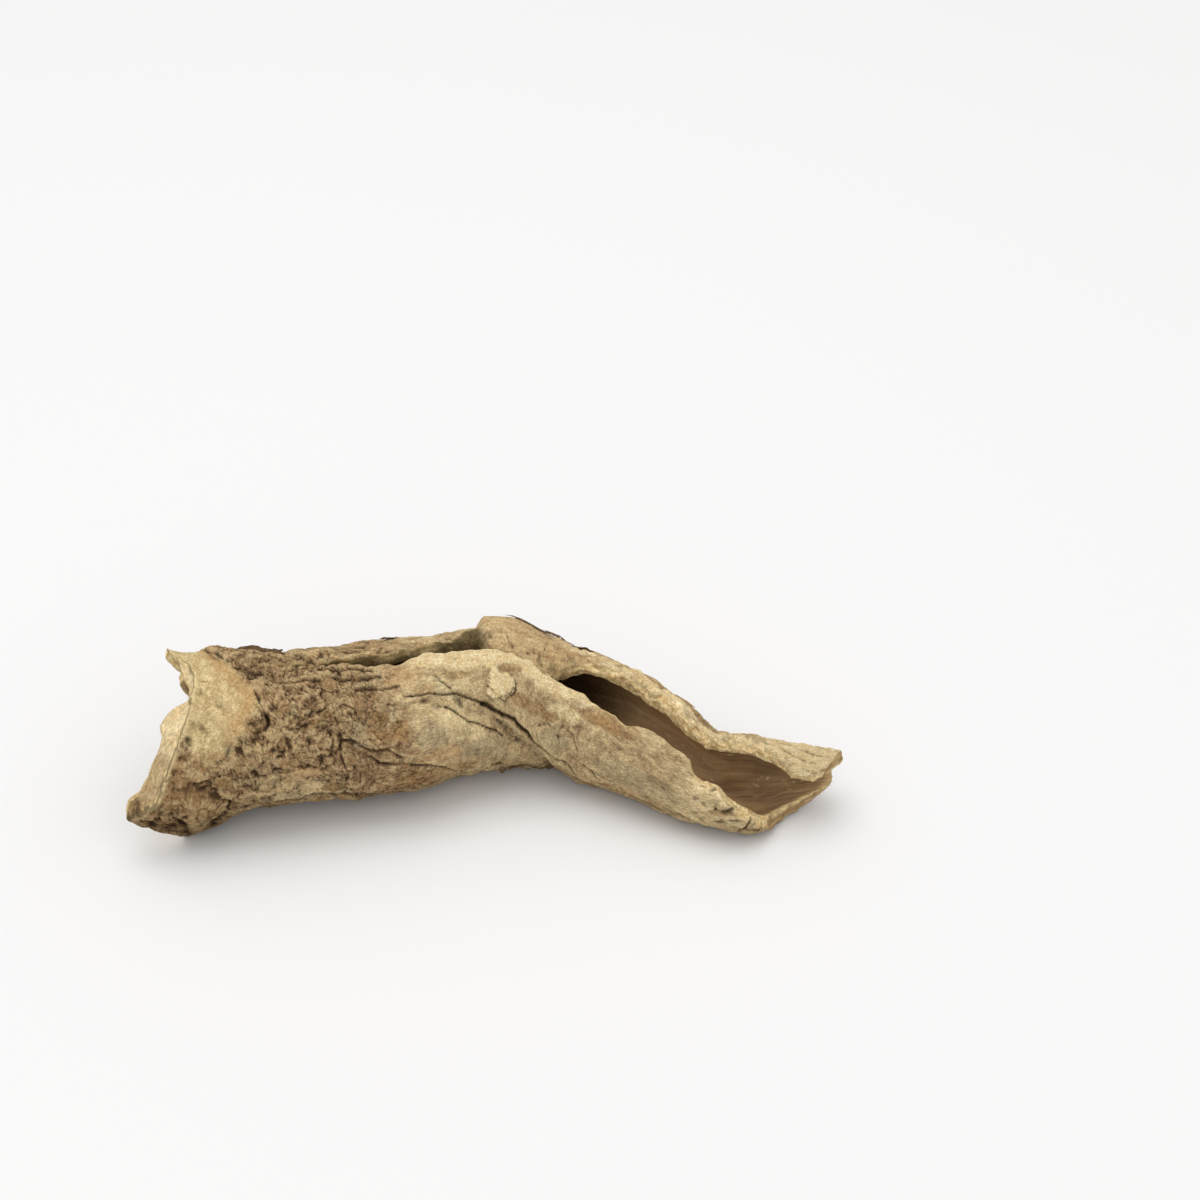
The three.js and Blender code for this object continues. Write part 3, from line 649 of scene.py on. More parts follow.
tones = dict(  # sRGB, before light falls on them
    corkDark="#7d6146", corkMid="#a6875f", corkLight="#d0ae82", orange="#c08d54",
    paleGrey="#c4b594", paleCream="#f0d8a4", greenGrey="#a39474", plainTan="#cab087", plainBrown="#a98c68",
    patchTan="#dcc08c", patchCream="#f8e6b8", saddleTan="#c8ac7a", saddleCream="#f0daa6", fibreTan="#e3c691",
    # the darkest brown is painted shade in hollows, and the colour of the dark flakes
    fibreCream="#fbe8bc", smoothBrown="#b08c65", rustBrown="#997649", crevice="#33241a", bandBrown="#b08d62",
    # the darkest inner brown is painted shade deep in the tube
    bandCream="#e3c999", innerDark="#6e543a", innerMid="#a08059", innerLight="#dcbd92", innerDeep="#3a2a1c",
    # the olive is painted shade in the slit
    edgeCream="#f6e2b0", edgeTan="#c8a46c", shadeOlive="#5f5136",
)
looks = dict(
    # Dried root bark, outside: dull brown cork over cream fibre, crumpled, and rubbed pale in patches.
    driedBarkOutside=dict(
        # width in millimetres, stretch along and round the quill, detail, roughness, low and high cut
        patterns=dict(
            cloud=(3.2, 1, 1, 4, 0.6, 0.36, 0.64),
            blotch=(1.2, 1, 1, 6, 0.7, 0.34, 0.66),
            speckle=(0.45, 1, 1, 4, 0.75, 0.34, 0.66),
            strands=(0.5, 0.12, 1, 5, 0.7, 0.32, 0.68),
            across=(0.6, 1, 0.16, 5, 0.7, 0.32, 0.68),
            grain=(0.28, 1, 1, 4, 0.85),  # coarser than the real dust, so that it shows
            patchy=(2.6, 1, 1, 2, 0.6, 0.42, 0.58),
            wideLines=(2.4, 0.8, 1, 4, 0.55),
            fineLines=(1.0, 0.85, 1, 4, 0.55),
        ),
        # mask, first tone, then a pattern and its tone, some with low, high, least and most
        layers=[
            (None, "plainBrown", ("cloud", "plainTan"), ("blotch", "paleCream", 0.2, 1.0, 0.0, 0.5)),
            ("cork", "corkDark", ("blotch", "corkMid"), ("speckle", "corkLight", 0.2, 1.0, 0.0, 0.55)),
            ("pale", "patchTan", ("blotch", "patchCream")),
            ("grey", "greenGrey", ("speckle", "paleGrey")),
            ("fibre", "fibreTan", ("blotch", "fibreCream", 0.0, 1.0, 0.15, 0.95),
             ("strands", "fibreTan", 0.2, 1.0, 0.0, 0.5)),
            ("saddle", "saddleTan", ("blotch", "saddleCream", 0.0, 1.0, 0.1, 0.9),
             ("across", "saddleTan", 0.4, 1.0, 0.0, 0.5)),
            ("brown", "rustBrown", ("speckle", "smoothBrown", 0.0, 1.0, 0.0, 0.8)),
            ("band", "bandBrown", ("strands", "bandCream")),
            ("orange", "orange"),
            # painted highlight on crests and rims
            ("raised", "paleCream"),
            # painted shade in the slit
            ("shade", "shadeOlive"),
            # painted shade in hollows, under the flake and towards the bottom, and the dark of the dark
            # flakes
            ("cavity", "crevice"),
        ],
        # painted shade in creases: noise, how thin its lines are, what a line leaves of the colour, and where
        # there are none
        creases=[("wideLines", 0.03, 0.60, []), ("fineLines", 0.045, 0.76, ["patchy"])],
        calmOnFibre=0.8, calmOffCork=0.5,  # how far creases fade there
        dust=(0.32, 0.68, 0.66, 1.34),  # the grain's low and high cut, and how dark and light it makes them
        roughness=("speckle", 0.97, 0.84), specular=0.05,
        # pattern, strength, height in millimetres, the coarsest first
        bumps=[
            ("blotch", 0.7, 0.12), ("strands", 0.6, 0.05), ("creased", 0.8, 0.16), ("speckle", 0.8, 0.07),
            ("grain", 0.8, 0.06),
        ],
    ),
    # Dried root bark, inside: smooth brown inner bark with fine long streaks, less dull than the cork.
    driedBarkInside=dict(
        patterns=dict(
            streaks=(0.6, 0.05, 1, 5, 0.6, 0.3, 0.7),
            clouds=(4.0, 0.5, 1, 4, 0.6, 0.34, 0.66),
            grain=(0.2, 1, 1, 3, 0.75),
        ),
        layers=[
            (None, "innerDark", ("clouds", "innerMid"), ("streaks", "innerMid", 0.2, 1.0, 0.0, 0.5)),
            # painted highlight on the ridges and painted light falling into the trough
            ("ridges", "innerLight"),
            # painted shade deep in the tube
            ("deep", "innerDeep"),
            ("grit", "paleCream"),
            ("border", "fibreTan"),
        ],
        dust=(0.25, 0.75, 0.82, 1.18),
        roughness=("streaks", 0.86, 0.68), specular=0.12,
        bumps=[("streaks", 0.6, 0.06), ("grain", 0.6, 0.05)],
    ),
    # Torn bark: cream and tan fibre ends, matt, with thin darker layers between them.
    tornFibre=dict(
        patterns=dict(tufts=(0.6, 1, 1, 5, 0.7, 0.34, 0.66), grain=(0.28, 1, 1, 4, 0.85)),
        layers=[
            (None, "edgeTan", ("tufts", "edgeCream")),
            ("stain", "corkMid"),
            # painted shade on the far torn face in the slit
            ("shade", "shadeOlive"),
            # painted shade where the torn face's tufts sink
            ("cavity", "crevice"),
        ],
        dust=(0.30, 0.70, 0.72, 1.28),
        roughness=0.93, specular=0.05,
        bumps=[("tufts", 0.7, 0.09), ("grain", 0.8, 0.06)],
    ),
)
eased = dict(interpolation_type="SMOOTHSTEP")


def linearColour(code):
    # sRGB hex to linear RGBA.
    channels = [int(code[i : i + 2], 16) / 255 for i in (1, 3, 5)]
    return [c / 12.92 if c <= 0.04045 else ((c + 0.055) / 1.055) ** 2.4 for c in channels] + [1.0]


def addNode(tree, kind, sockets=(), out=0, **settings):
    # Adds a node with its settings. Its sockets, in order or by name, take values or other nodes' outputs.
    node = tree.nodes.new(kind)
    for name, value in settings.items():
        setattr(node, name, value)
    for key, value in sockets.items() if isinstance(sockets, dict) else enumerate(sockets):
        if isinstance(value, bpy.types.NodeSocket):
            tree.links.new(value, node.inputs[key])
        else:
            node.inputs[key].default_value = value
    return node.outputs[out] if node.outputs else node


def creaseShade(tree, patterns, look):
    # Painted shade along thin wandering crease lines, where a noise passes through its middle value, and 1
    # away from them; few on fibre.
    calm = addNode(tree, "ShaderNodeAttribute", (), "Fac", attribute_name="fibre")
    for name in ("saddle", "band"):
        other = addNode(tree, "ShaderNodeAttribute", (), "Fac", attribute_name=name)
        calm = addNode(tree, "ShaderNodeMath", [calm, other], operation="MAXIMUM")
    cork = addNode(tree, "ShaderNodeAttribute", (), "Fac", attribute_name="cork")
    onFibre = addNode(tree, "ShaderNodeMapRange", [calm, 0.0, 1.0, 0.0, look["calmOnFibre"]], **eased)
    offCork = addNode(tree, "ShaderNodeMapRange", [cork, 0.0, 1.0, look["calmOffCork"], 0.0], **eased)
    calm = addNode(tree, "ShaderNodeMath", [onFibre, offCork], operation="MAXIMUM")
    lines = []
    for name, thin, least, covers in look["creases"]:
        fromMiddle = addNode(tree, "ShaderNodeMath", [patterns[name], 0.5], operation="SUBTRACT")
        away = addNode(tree, "ShaderNodeMath", [fromMiddle], operation="ABSOLUTE")
        line = addNode(tree, "ShaderNodeMapRange", [away, 0.0, thin, 0.0, 1.0], **eased)
        for cover in [patterns[cover] for cover in covers] + [calm]:
            line = addNode(tree, "ShaderNodeMath", [line, cover], operation="MAXIMUM")
        lines.append(addNode(tree, "ShaderNodeMapRange", [line, 0.0, 1.0, least, 1.0], **eased))
    return addNode(tree, "ShaderNodeMath", lines, operation="MULTIPLY")


def newMaterial(name):
    # A material with an empty node tree.
    material = bpy.data.materials.new(name)
    material.use_nodes = True
    material.node_tree.nodes.clear()
    return material, material.node_tree


def layeredMaterial(name):
    # Noise patterns give the shares by which tones mix; masks on the mesh say where each layer lies.
    look = looks[name]
    material, tree = newMaterial(name)
    place = addNode(tree, "ShaderNodeUVMap", uv_map="pattern")
    patterns = {}
    for key, (width, lengthwise, crosswise, detail, rough, *cut) in look["patterns"].items():
        scale = (lengthwise / width, crosswise / width, 1)
        scaled = addNode(tree, "ShaderNodeMapping", {"Vector": place, "Scale": scale})
        sockets = {"Vector": scaled, "Scale": 1.0, "Detail": detail, "Roughness": rough}
        patterns[key] = addNode(tree, "ShaderNodeTexNoise", sockets)
        if cut:
            patterns[key] = addNode(tree, "ShaderNodeMapRange", [patterns[key], *cut, 0.0, 1.0], **eased)
    colour = None
    for maskName, firstTone, *mixes in look["layers"]:
        layer = linearColour(tones[firstTone])
        for key, tone, *cut in mixes:
            share = patterns[key]
            if cut:
                share = addNode(tree, "ShaderNodeMapRange", [share, *cut], **eased)
            # sockets 6 and 7 of a Mix node are its two colours, and output 2 is the mixed colour
            sockets = {0: share, 6: layer, 7: linearColour(tones[tone])}
            layer = addNode(tree, "ShaderNodeMix", sockets, 2, data_type="RGBA")
        if maskName:
            mask = addNode(tree, "ShaderNodeAttribute", (), "Fac", attribute_name=maskName)
            layer = addNode(tree, "ShaderNodeMix", {0: mask, 6: colour, 7: layer}, 2, data_type="RGBA")
        colour = layer
    dustAndCreaseShade = addNode(tree, "ShaderNodeMapRange", [patterns["grain"], *look["dust"]], **eased)
    if "creases" in look:
        # Crease lines add painted shade in the creases to the dust's darkening.
        patterns["creased"] = creaseShade(tree, patterns, look)
        dustAndCreaseShade = addNode(tree, "ShaderNodeMath", [patterns["creased"], dustAndCreaseShade], operation="MULTIPLY")
    dustAndCreaseShade = addNode(tree, "ShaderNodeCombineColor", [dustAndCreaseShade, dustAndCreaseShade, dustAndCreaseShade])
    sockets = {0: 1.0, 6: colour, 7: dustAndCreaseShade}
    colour = addNode(tree, "ShaderNodeMix", sockets, 2, data_type="RGBA", blend_type="MULTIPLY")
    roughness = look["roughness"]
    if isinstance(roughness, tuple):
        key, most, least = roughness
        roughness = addNode(tree, "ShaderNodeMapRange", [patterns[key], 0.0, 1.0, most, least], **eased)
    bump = {}
    for key, strength, distance in look["bumps"]:
        sockets = {"Height": patterns[key], "Strength": strength, "Distance": distance * mm, **bump}
        bump = {"Normal": addNode(tree, "ShaderNodeBump", sockets)}
    sockets = {"Base Color": colour, "Roughness": roughness, "Specular IOR Level": look["specular"], **bump}
    shader = addNode(tree, "ShaderNodeBsdfPrincipled", sockets)
    addNode(tree, "ShaderNodeOutputMaterial", {"Surface": shader})
    return material


def floorMaterial():
    # A sheet of matt white card.
    material, tree = newMaterial("whiteCard")
    sockets = {"Base Color": linearColour(studio["floorTone"]), "Roughness": 0.9, "Specular IOR Level": 0.1}
    shader = addNode(tree, "ShaderNodeBsdfPrincipled", sockets)
    addNode(tree, "ShaderNodeOutputMaterial", {"Surface": shader})
    return material


def barkOutside(material):
    # The outer face; masks come from the zones, and painted shade in hollows and a painted highlight on
    # crests from the relief less its own blur.
    x, angle, share = sheetPlaces(skin["rows"], skin["columns"])
    r, zone, height = outerRadius(x, angle, share)
    whole = height + lowRelief(x, angle)
    hollow = 0.8 * (blurred(blurred(whole, 2), 2) - whole) + 0.25 * (blurred(blurred(whole, 6), 6) - whole)
    # A light rim along the torn ridge's crest: a painted highlight, with no painted shade there.
    rim = hump(zone["toRidge"], 0.15, 0.3) * smooth(100, 86, angle) * smooth(-24, -14, angle)
    banded = 0.45 * zone["farBand"] + 0.8 * zone["tongue"] + 0.85 * zone["lowEnd"] + 0.4 * zone["band"]
    # Painted shade: darker in the hollows of the relief, a painted shadow under the flake's lower border, and
    # darker towards the bottom of the near side; the foot is made darker too.
    cavity = 0.84 * smooth(0.05, 0.26, hollow) * (1 - 0.8 * zone["torn"])
    cavity = cavity * (1 - 0.5 * zone["farRim"]) * (1 - rim)
    underside = smooth(-140, -110, angle)
    cavity = cavity + 0.55 * zone["flakeShadow"] + 0.24 * smooth(-20, -38, angle) * underside
    cavity = cavity + 0.22 * zone["foot"] + 0.20 * smooth(-2, -26, angle) * underside * hump(x, 8, 8)
    masks = dict(
        cork=zone["cork"], fibre=zone["fibre"], pale=0.75 * zone["pale"], grey=0.38 * zone["grey"],
        brown=clamp01(0.65 * zone["brown"] + 0.75 * zone["foot"] + 0.5 * zone["lowLeft"]),
        saddle=0.95 * zone["saddle"],
        # Painted shade beside the slit.
        shade=0.9 * zone["slitShade"],
        band=clamp01(banded), cavity=clamp01(cavity),
        # Painted highlight on the crests of the relief and along the ridge's rim.
        raised=np.maximum(0.36 * smooth(0.03, 0.13, -hollow) * (1 - 0.6 * zone["fibre"]), 0.8 * rim),
        orange=np.maximum(0.30 * zone["orange"], warmth(x, angle, zone)),
    )
    upright = zone["torn"] > 0.5  # the torn face's fibres run round the quill
    aside = girth(angle)
    uv = np.stack([np.where(upright, 0.5 * aside, x), np.where(upright, zone["toRidge"], aside)], -1)
    points = tubePoint(x, angle, r)
    piece = makePiece("barkOutside", points, gridQuads(*x.shape), material, masks, uv)
    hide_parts("root_bark")
    return x, angle, r


def warmth(x, angle, zone):
    # Orange stain on the saddle's right shoulder and under the right part.
    shoulder = hump(x - along(bark["saddleEnd"], angle), -0.8, 1.1) * smooth(25, 45, angle)
    under = smooth(-8, -30, angle + 10 * zone["ragged"]) * (angle > -120)
    under = under * smooth(-4, 4, x) * smooth(30, 24, x)
    return clamp01(0.5 * shoulder + 0.4 * under * smooth(-0.3, 0.5, zone["ragged"]))


def barkInside(material):
    # The inner face: fibre along its borders and grit in the trough, with a painted highlight on the ridges,
    # painted light falling into the trough, and painted shade deep in the tube.
    x, angle = sheetPlaces(skin["innerRows"], skin["innerColumns"], skin["innerSetBack"])[:2]
    r, ridges, grit = innerRadius(x, angle)
    # millimetres from the far edge, and a large number on the near side
    toFar = np.where(angle < sheet["farSide"], (along(sheet["farEdge"], x) - (angle + 360)) * -0.11, 9.0)
    toEnd = np.minimum(x - x[0], x[-1] - x)
    border = np.maximum(smooth(1.3, 0.2, toEnd + 0.5 * ridges), 0.8 * smooth(0.9, 0.1, toFar + 0.3 * ridges))
    # Painted light: a painted highlight on the ridges, and painted light falling in through the opening from
    # place 12 on.
    light = along([(20, 0.4), (28, 0.22)], x) * smooth(0.0, 0.8, ridges)
    light = light + 0.5 * smooth(12, 18, x) * smooth(31, 24, x) + 0.1 * smooth(24, 38, x)
    masks = dict(
        ridges=light, grit=0.6 * grit * smooth(14, 22, x), border=0.8 * border,
        # Painted shade deep in the tube, at the left.
        deep=0.9 * smooth(18, 10, x) * smooth(-40, -36, x),
    )
    uv = np.stack([x, girth(angle)], -1)
    makePiece("barkInside", tubePoint(x, angle, r), gridQuads(*x.shape, flip=True), material, masks, uv)


def borders(x, angle, rOuter):
    # The sheet's four borders: outer and inner places, angles, radii, the run along them, and the way out.
    innerX, innerAngle = sheetPlaces(skin["rows"], skin["columns"], skin["innerSetBack"])[:2]
    lines = []
    every = slice(None)
    cuts = ((0, every), -1, 0), ((-1, every), 1, 0), ((every, 0), 0, 1), ((every, -1), 0, -1)
    for cut, outX, outAngle in cuts:
        bx, ba, ix, ia = x[cut], angle[cut], innerX[cut], innerAngle[cut]
        ends = (bx, ix, ba, ia, rOuter[cut], innerRadius(ix, ia)[0])
        run = np.concatenate([[0], np.cumsum(np.hypot(np.diff(bx), np.radians(np.diff(ba)) * 8))])
        lines.append((*ends, run, outX, outAngle))
    return lines


tornRim = dict(
    steps=12,
    bulge=0.14, tufts=0.12, layers=0.07, farBulge=0.22,  # how far the torn edge stands out
)


def tornEdge(lines, material):
    # Strips from the outer to the inner border; each bulges out by a half sine, roughened by noise.
    points, faces, stain, cavity, shade, uv, count = [], [], [], [], [], [], 0
    steps = tornRim["steps"]
    for number, (bx, ix, ba, ia, rOuter, rInner, run, outX, outAngle) in enumerate(lines):
        t = np.linspace(0, 1, steps + 1)[None, :]
        s = run[:, None]
        middle = np.sin(np.pi * t) ** 0.6 * np.minimum(1, np.minimum(s, run[-1] - s) / 0.8)
        tufts = layered(s / 1.1, t * 2.2 + 9 * number, 4, 131)
        layers = noise(s / 3.4, t * 7 + 5 * number, 135)
        out = middle * (tornRim["bulge"] + tornRim["tufts"] * tufts + tornRim["layers"] * layers)
        if number == 3:
            out = out + tornRim["farBulge"] * middle * smooth(8, 10, bx)[:, None] * (0.6 + tufts)
        r = rOuter[:, None] + (rInner - rOuter)[:, None] * t
        px = bx[:, None] + (ix - bx)[:, None] * t + outX * out
        pa = ba[:, None] + (ia - ba)[:, None] * t + outAngle * np.degrees(out / np.maximum(r, 2))
        points.append(tubePoint(px, pa, r).reshape(-1, 3))
        flip = number in (0, 3)
        faces.append(gridQuads(len(bx), steps + 1, flip=not flip) + count)
        count += px.size
        lowRight = (number == 1) * smooth(-25, -45, ba)[:, None] * (0.55 + 0.45 * smooth(-0.2, 0.3, layers))
        lowRight = lowRight * smooth(0.8, 0.6, t + 0.1 * tufts)
        layerStain = 0.45 * smooth(0.10, 0.0, t) + 0.35 * smooth(0.3, 0.8, layers)
        stain.append(clamp01(layerStain + lowRight + 0 * s).ravel())
        # Painted shade where the torn face's tufts sink.
        cavity.append((0.35 * smooth(-0.2, -0.7, tufts) * (middle > 0.2) + 0 * s).ravel())
        # Painted shade on the far torn face inside the slit, left lighter along a streak.
        inSlit = smooth(-27, -25, bx)[:, None] * smooth(0.3, -0.6, bx)[:, None] * (number == 3)
        streak = hump(t, 0.42 + 0.1 * noise(s / 3, 0 * s, 137), 0.16) * smooth(-14, -11, bx)[:, None]
        streak = streak * smooth(-4.5, -7, bx)[:, None]
        dark = np.maximum(smooth(0.0, 0.25, t), smooth(-7, -5, bx)[:, None])
        shade.append((0.9 * inSlit * (1 - 0.85 * streak) * dark).ravel())
        uv.append(np.stack([s + 0 * t, 2 * t + 3 * number + 0 * s], -1).reshape(-1, 2))
    masks = dict(stain=np.concatenate(stain), cavity=np.concatenate(cavity), shade=np.concatenate(shade))
    makePiece("tornEdge", np.concatenate(points), np.concatenate(faces), material, masks, np.concatenate(uv))


looseFibres = dict(
    count=230, length=(0.15, 0.6), radius=(0.03, 0.07),
    crowding=[2.0, 1.2, 0.15, 1.4], reach=[0.6, 0.8, 0.55, 0.75],  # left end, right end, near edge, far edge
)


def tornFibres(lines, material, random):
    # Thin three-sided strands that leave the torn borders, bend, and taper to nothing.
    count = looseFibres["count"]
    lengths = np.array([line[6][-1] for line in lines]) * looseFibres["crowding"]
    pick = random.choice(4, count, p=lengths / lengths.sum())
    at = random.uniform(0.01, 0.99, count)
    depth = random.uniform(0.1, 0.9, count)
    length = random.uniform(*looseFibres["length"], count) * np.array(looseFibres["reach"])[pick]
    thick = random.uniform(*looseFibres["radius"], count)
    lean = random.normal(0, 0.45, (count, 3))
    s = np.linspace(-0.35, 1, 6)[None, :]
    px, pa, pr = (np.zeros((count, 6)) for _ in range(3))
    for number, (bx, ix, ba, ia, rOuter, rInner, run, outX, outAngle) in enumerate(lines):
        mine = pick == number
        place = np.interp(at[mine], np.linspace(0, 1, len(bx)), np.arange(len(bx))).astype(int)
        reach = length[mine][:, None] * s
        r = rOuter[place] + (rInner - rOuter)[place] * depth[mine]
        start = bx[place] + (ix - bx)[place] * depth[mine]
        px[mine] = start[:, None] + outX * reach + (1 - abs(outX)) * lean[mine, 0:1] * reach
        turn = outAngle + (1 - abs(outAngle)) * lean[mine, 1:2]
        start = ba[place] + (ia - ba)[place] * depth[mine]
        pa[mine] = start[:, None] + np.degrees(turn * reach / r[:, None])
        pr[mine] = r[:, None] + 0.35 * lean[mine, 2:3] * reach * np.abs(s)
    spine = tubePoint(px, pa, pr)
    turn = np.arange(3) * 2 * np.pi / 3
    radius = (thick[:, None] * np.sqrt(clamp01(1 - s)))[..., None, None]
    ring = np.stack([0.3 * np.cos(turn), np.cos(turn), np.sin(turn)], -1)
    points = spine[:, :, None, :] + radius * ring[None, None]
    points[..., 2] = np.maximum(points[..., 2], 0)
    base = (np.arange(count) * 18)[:, None, None] + (np.arange(5) * 3)[None, :, None]
    faces = ringFaces(base, 3, 3)[:, [0, 3, 2, 1]]
    uv = np.stack([np.repeat(px[..., None], 3, -1), np.repeat(pr[..., None], 3, -1)], -1)
    none = np.zeros(count * 18)
    masks = dict(stain=np.repeat(random.uniform(0, 0.55, count), 18), cavity=none, shade=none)
    makePiece("tornFibres", points, faces, material, masks, uv)


flakes = dict(
    count=70, size=(0.35, 0.9), lift=(0.02, 0.16), thickness=0.08, rings=5, spokes=20,
    dark=[  # (place, angle, half length, half width), along the top outline and under the bend
        (-28.4, -231, 2.4, 0.5), (-26.0, -232, 1.5, 0.4), (-10.8, -236, 1.2, 0.3), (4.8, -233, 2.4, 0.35),
        (8.0, -232, 1.4, 0.3), (10.8, -233, 1.2, 0.25), (2.4, -41, 0.9, 0.4), (5.2, -43, 1.6, 0.45),
        (9.6, -40, 1.8, 0.5), (39.0, -93, 0.8, 0.35),
    ],
    darkLift=0.40,
)


def flakePlaces(random):
    # Specified flakes first, then small ones scattered where the cork is rough.
    found = [(*flake, 1.0, flakes["darkLift"]) for flake in flakes["dark"]]
    low, high = flakes["size"]
    while len(found) < flakes["count"]:
        x, a = random.uniform(-33, 24), random.uniform(-230, 92)
        zone = barkZones(np.array([[x]]), np.array([[a]]))
        if a > along(sheet["nearEdge"], x) - 9:
            continue
        if random.random() > float(zone["rough"][0, 0]) + 0.04:
            continue
        size, lift = random.uniform(low, high), random.uniform(*flakes["lift"])
        found.append((x, a, size * random.uniform(0.9, 1.6), size, random.uniform(0.2, 0.8), lift))
    return np.array(found)


def corkFlakes(material, random):
    # Each flake is a ragged disc of rings and spokes, one side lifted off the bark by a squared ramp.
    flake = flakePlaces(random)
    count, rings, spokes = len(flake), flakes["rings"], flakes["spokes"]
    ring = np.linspace(0, 1, rings)[None, :, None]
    spoke = np.arange(spokes)[None, None, :] * 2 * np.pi / spokes
    shift = random.uniform(0, 50, (count, 1, 1))
    outline = 1 + 0.55 * layered(1.9 * np.cos(spoke) + shift, 1.9 * np.sin(spoke) + shift, 4, 141)
    lengthways, across = flake[:, 2, None, None], flake[:, 3, None, None]
    tilt = random.uniform(-0.5, 0.5, (count, 1, 1))
    p, q = ring * outline * np.cos(spoke), ring * outline * np.sin(spoke)
    x = flake[:, 0, None, None] + lengthways * (p * np.cos(tilt) - q * np.sin(tilt))
    aside = across * (p * np.sin(tilt) + q * np.cos(tilt))
    angle = flake[:, 1, None, None] + np.degrees(aside / sheet["patternRadius"])
    way = random.uniform(0, 2 * np.pi, (count, 1, 1))
    ramped = clamp01(0.5 + 0.5 * (p * np.cos(way) + q * np.sin(way)))
    lift = flake[:, 5, None, None] * ramped**2 + 0.02
    middle = np.full(x.shape, 0.5)
    ground = outerRadius(x, angle, middle)[0]
    ground = 0.8 * ground + 0.2 * ground.mean(axis=(1, 2), keepdims=True)
    top = tubePoint(x, angle, ground + lift + flakes["thickness"] * (1 - ring**4))
    under = tubePoint(x, angle, ground + lift - 0.02)
    points = np.stack([top, under], 1)
    size = rings * spokes
    first = (np.arange(count) * 2 * size)[:, None, None] + (np.arange(rings - 1) * spokes)[None, :, None]
    topFaces = ringFaces(first, spokes, spokes)
    underFaces = topFaces[:, ::-1] + size
    outer = (np.arange(count) * 2 * size)[:, None] + (rings - 1) * spokes
    rimFaces = ringFaces(outer, spokes, size)
    each = 2 * size
    dark = np.repeat(flake[:, 4], each)
    edge = np.tile(np.concatenate([(ring[0] ** 6 + 0 * spoke[0]).ravel()] * 2), count)
    none = 0.0 * dark
    masks = dict(
        cork=clamp01(dark + 0.3),
        **{name: none for name in ("fibre", "pale", "grey", "saddle", "band", "orange", "shade")},
        # The listed dark flakes get the same dark brown that elsewhere is painted shade.
        brown=0.5 * (dark > 0.3) * (dark < 0.9), cavity=0.55 * (dark >= 1.0),
        # Painted highlight round the rims of the scattered flakes.
        raised=0.25 * edge * (dark < 1),
    )
    uv = np.stack([np.stack([x, x], 1), girth(np.stack([angle, angle], 1))], -1)
    faces = np.concatenate([topFaces, underFaces, rimFaces])
    makePiece("corkFlakes", points, faces, material, masks, uv)


grains = dict(
    count=110, size=(0.07, 0.18), rings=7, spokes=9,
    onRim=[(12.4, 0.35), (14.8, 0.55), (15.6, 0.45), (16.6, 0.6), (17.3, 0.4), (24.9, 0.3)],  # (place, width)
)


def crumbs(material, random):
    # Small lumps: spheres of rings and spokes whose radius is pushed in and out by noise.
    count = grains["count"]
    x = random.uniform(-38, 40, count)
    angle = random.uniform(-150, 95, count)
    size = random.uniform(*grains["size"], count)
    r = outerRadius(x[:, None], angle[:, None], np.full((count, 1), 0.5))[0][:, 0]
    keep = (x > along(bark["ridge"], angle) + 0.5) & (x < 26) & (angle < along(sheet["nearEdge"], x) - 5)
    x, angle, size, r = x[keep], angle[keep], size[keep], r[keep] + 0.2 * size[keep]
    rimX = np.array([place for place, _ in grains["onRim"]])
    rimSize = 0.5 * np.array([wide for _, wide in grains["onRim"]])
    rimAngle = along(sheet["farEdge"], rimX) - 360 + random.uniform(-1, 3, len(rimX))
    rimR = sheetRadius(rimX, rimAngle) - 0.6 * thicknessAt(rimX)
    x, angle = np.concatenate([x, rimX]), np.concatenate([angle, rimAngle])
    size, r = np.concatenate([size, rimSize]), np.concatenate([r, rimR])
    count, rings, spokes = len(x), grains["rings"], grains["spokes"]
    centre = tubePoint(x, angle, r)
    polar = np.linspace(0, np.pi, rings)[None, :, None]
    spoke = np.arange(spokes)[None, None, :] * 2 * np.pi / spokes
    shift = random.uniform(0, 80, (count, 1, 1))
    east, north = np.sin(polar) * np.cos(spoke), np.sin(polar) * np.sin(spoke)
    top = np.cos(polar) + 0 * spoke
    ball = np.stack([east, north, top], -1)
    push = 1 + 0.45 * layered(1.7 * east + shift, 1.7 * north + 2.1 * top + shift, 2, 151)
    stretch = random.uniform(0.7, 1.35, (count, 1, 1, 3))
    points = centre[:, None, None, :] + size[:, None, None, None] * push[..., None] * ball * stretch
    points[..., 2] = np.maximum(points[..., 2], 0)
    each = rings * spokes
    first = (np.arange(count) * each)[:, None, None] + (np.arange(rings - 1) * spokes)[None, :, None]
    faces = ringFaces(first, spokes, spokes)
    none = np.zeros(count * each)
    masks = dict(stain=np.repeat(random.uniform(0, 0.8, count), each), cavity=none, shade=none)
    uv = np.stack([points[..., 0], points[..., 1] + points[..., 2]], -1)
    makePiece("crumbs", points, faces, material, masks, uv)


studio = dict(
    floorSize=12000, floorTone="#f0f0f1",
    tentTone="#fbfaf8", horizonStrength=0.41, topStrength=1.0,  # the white tent round it, brighter overhead
    keySize=560, keyPower=1.4, keyPlace=(-90, 60, 660),
    fillSize=900, fillPower=0.5, fillPlace=(200, -500, 500),
)
photo = dict(  # the camera that the photograph was taken with, worked out from the quill's outline
    elevation=39, focal=70.11, sensor=36, focalPixels=2337, middlePixel=600, aimPixel=(484, 743),
    aim=(0, 9.0, 7.0), depth=297,
)


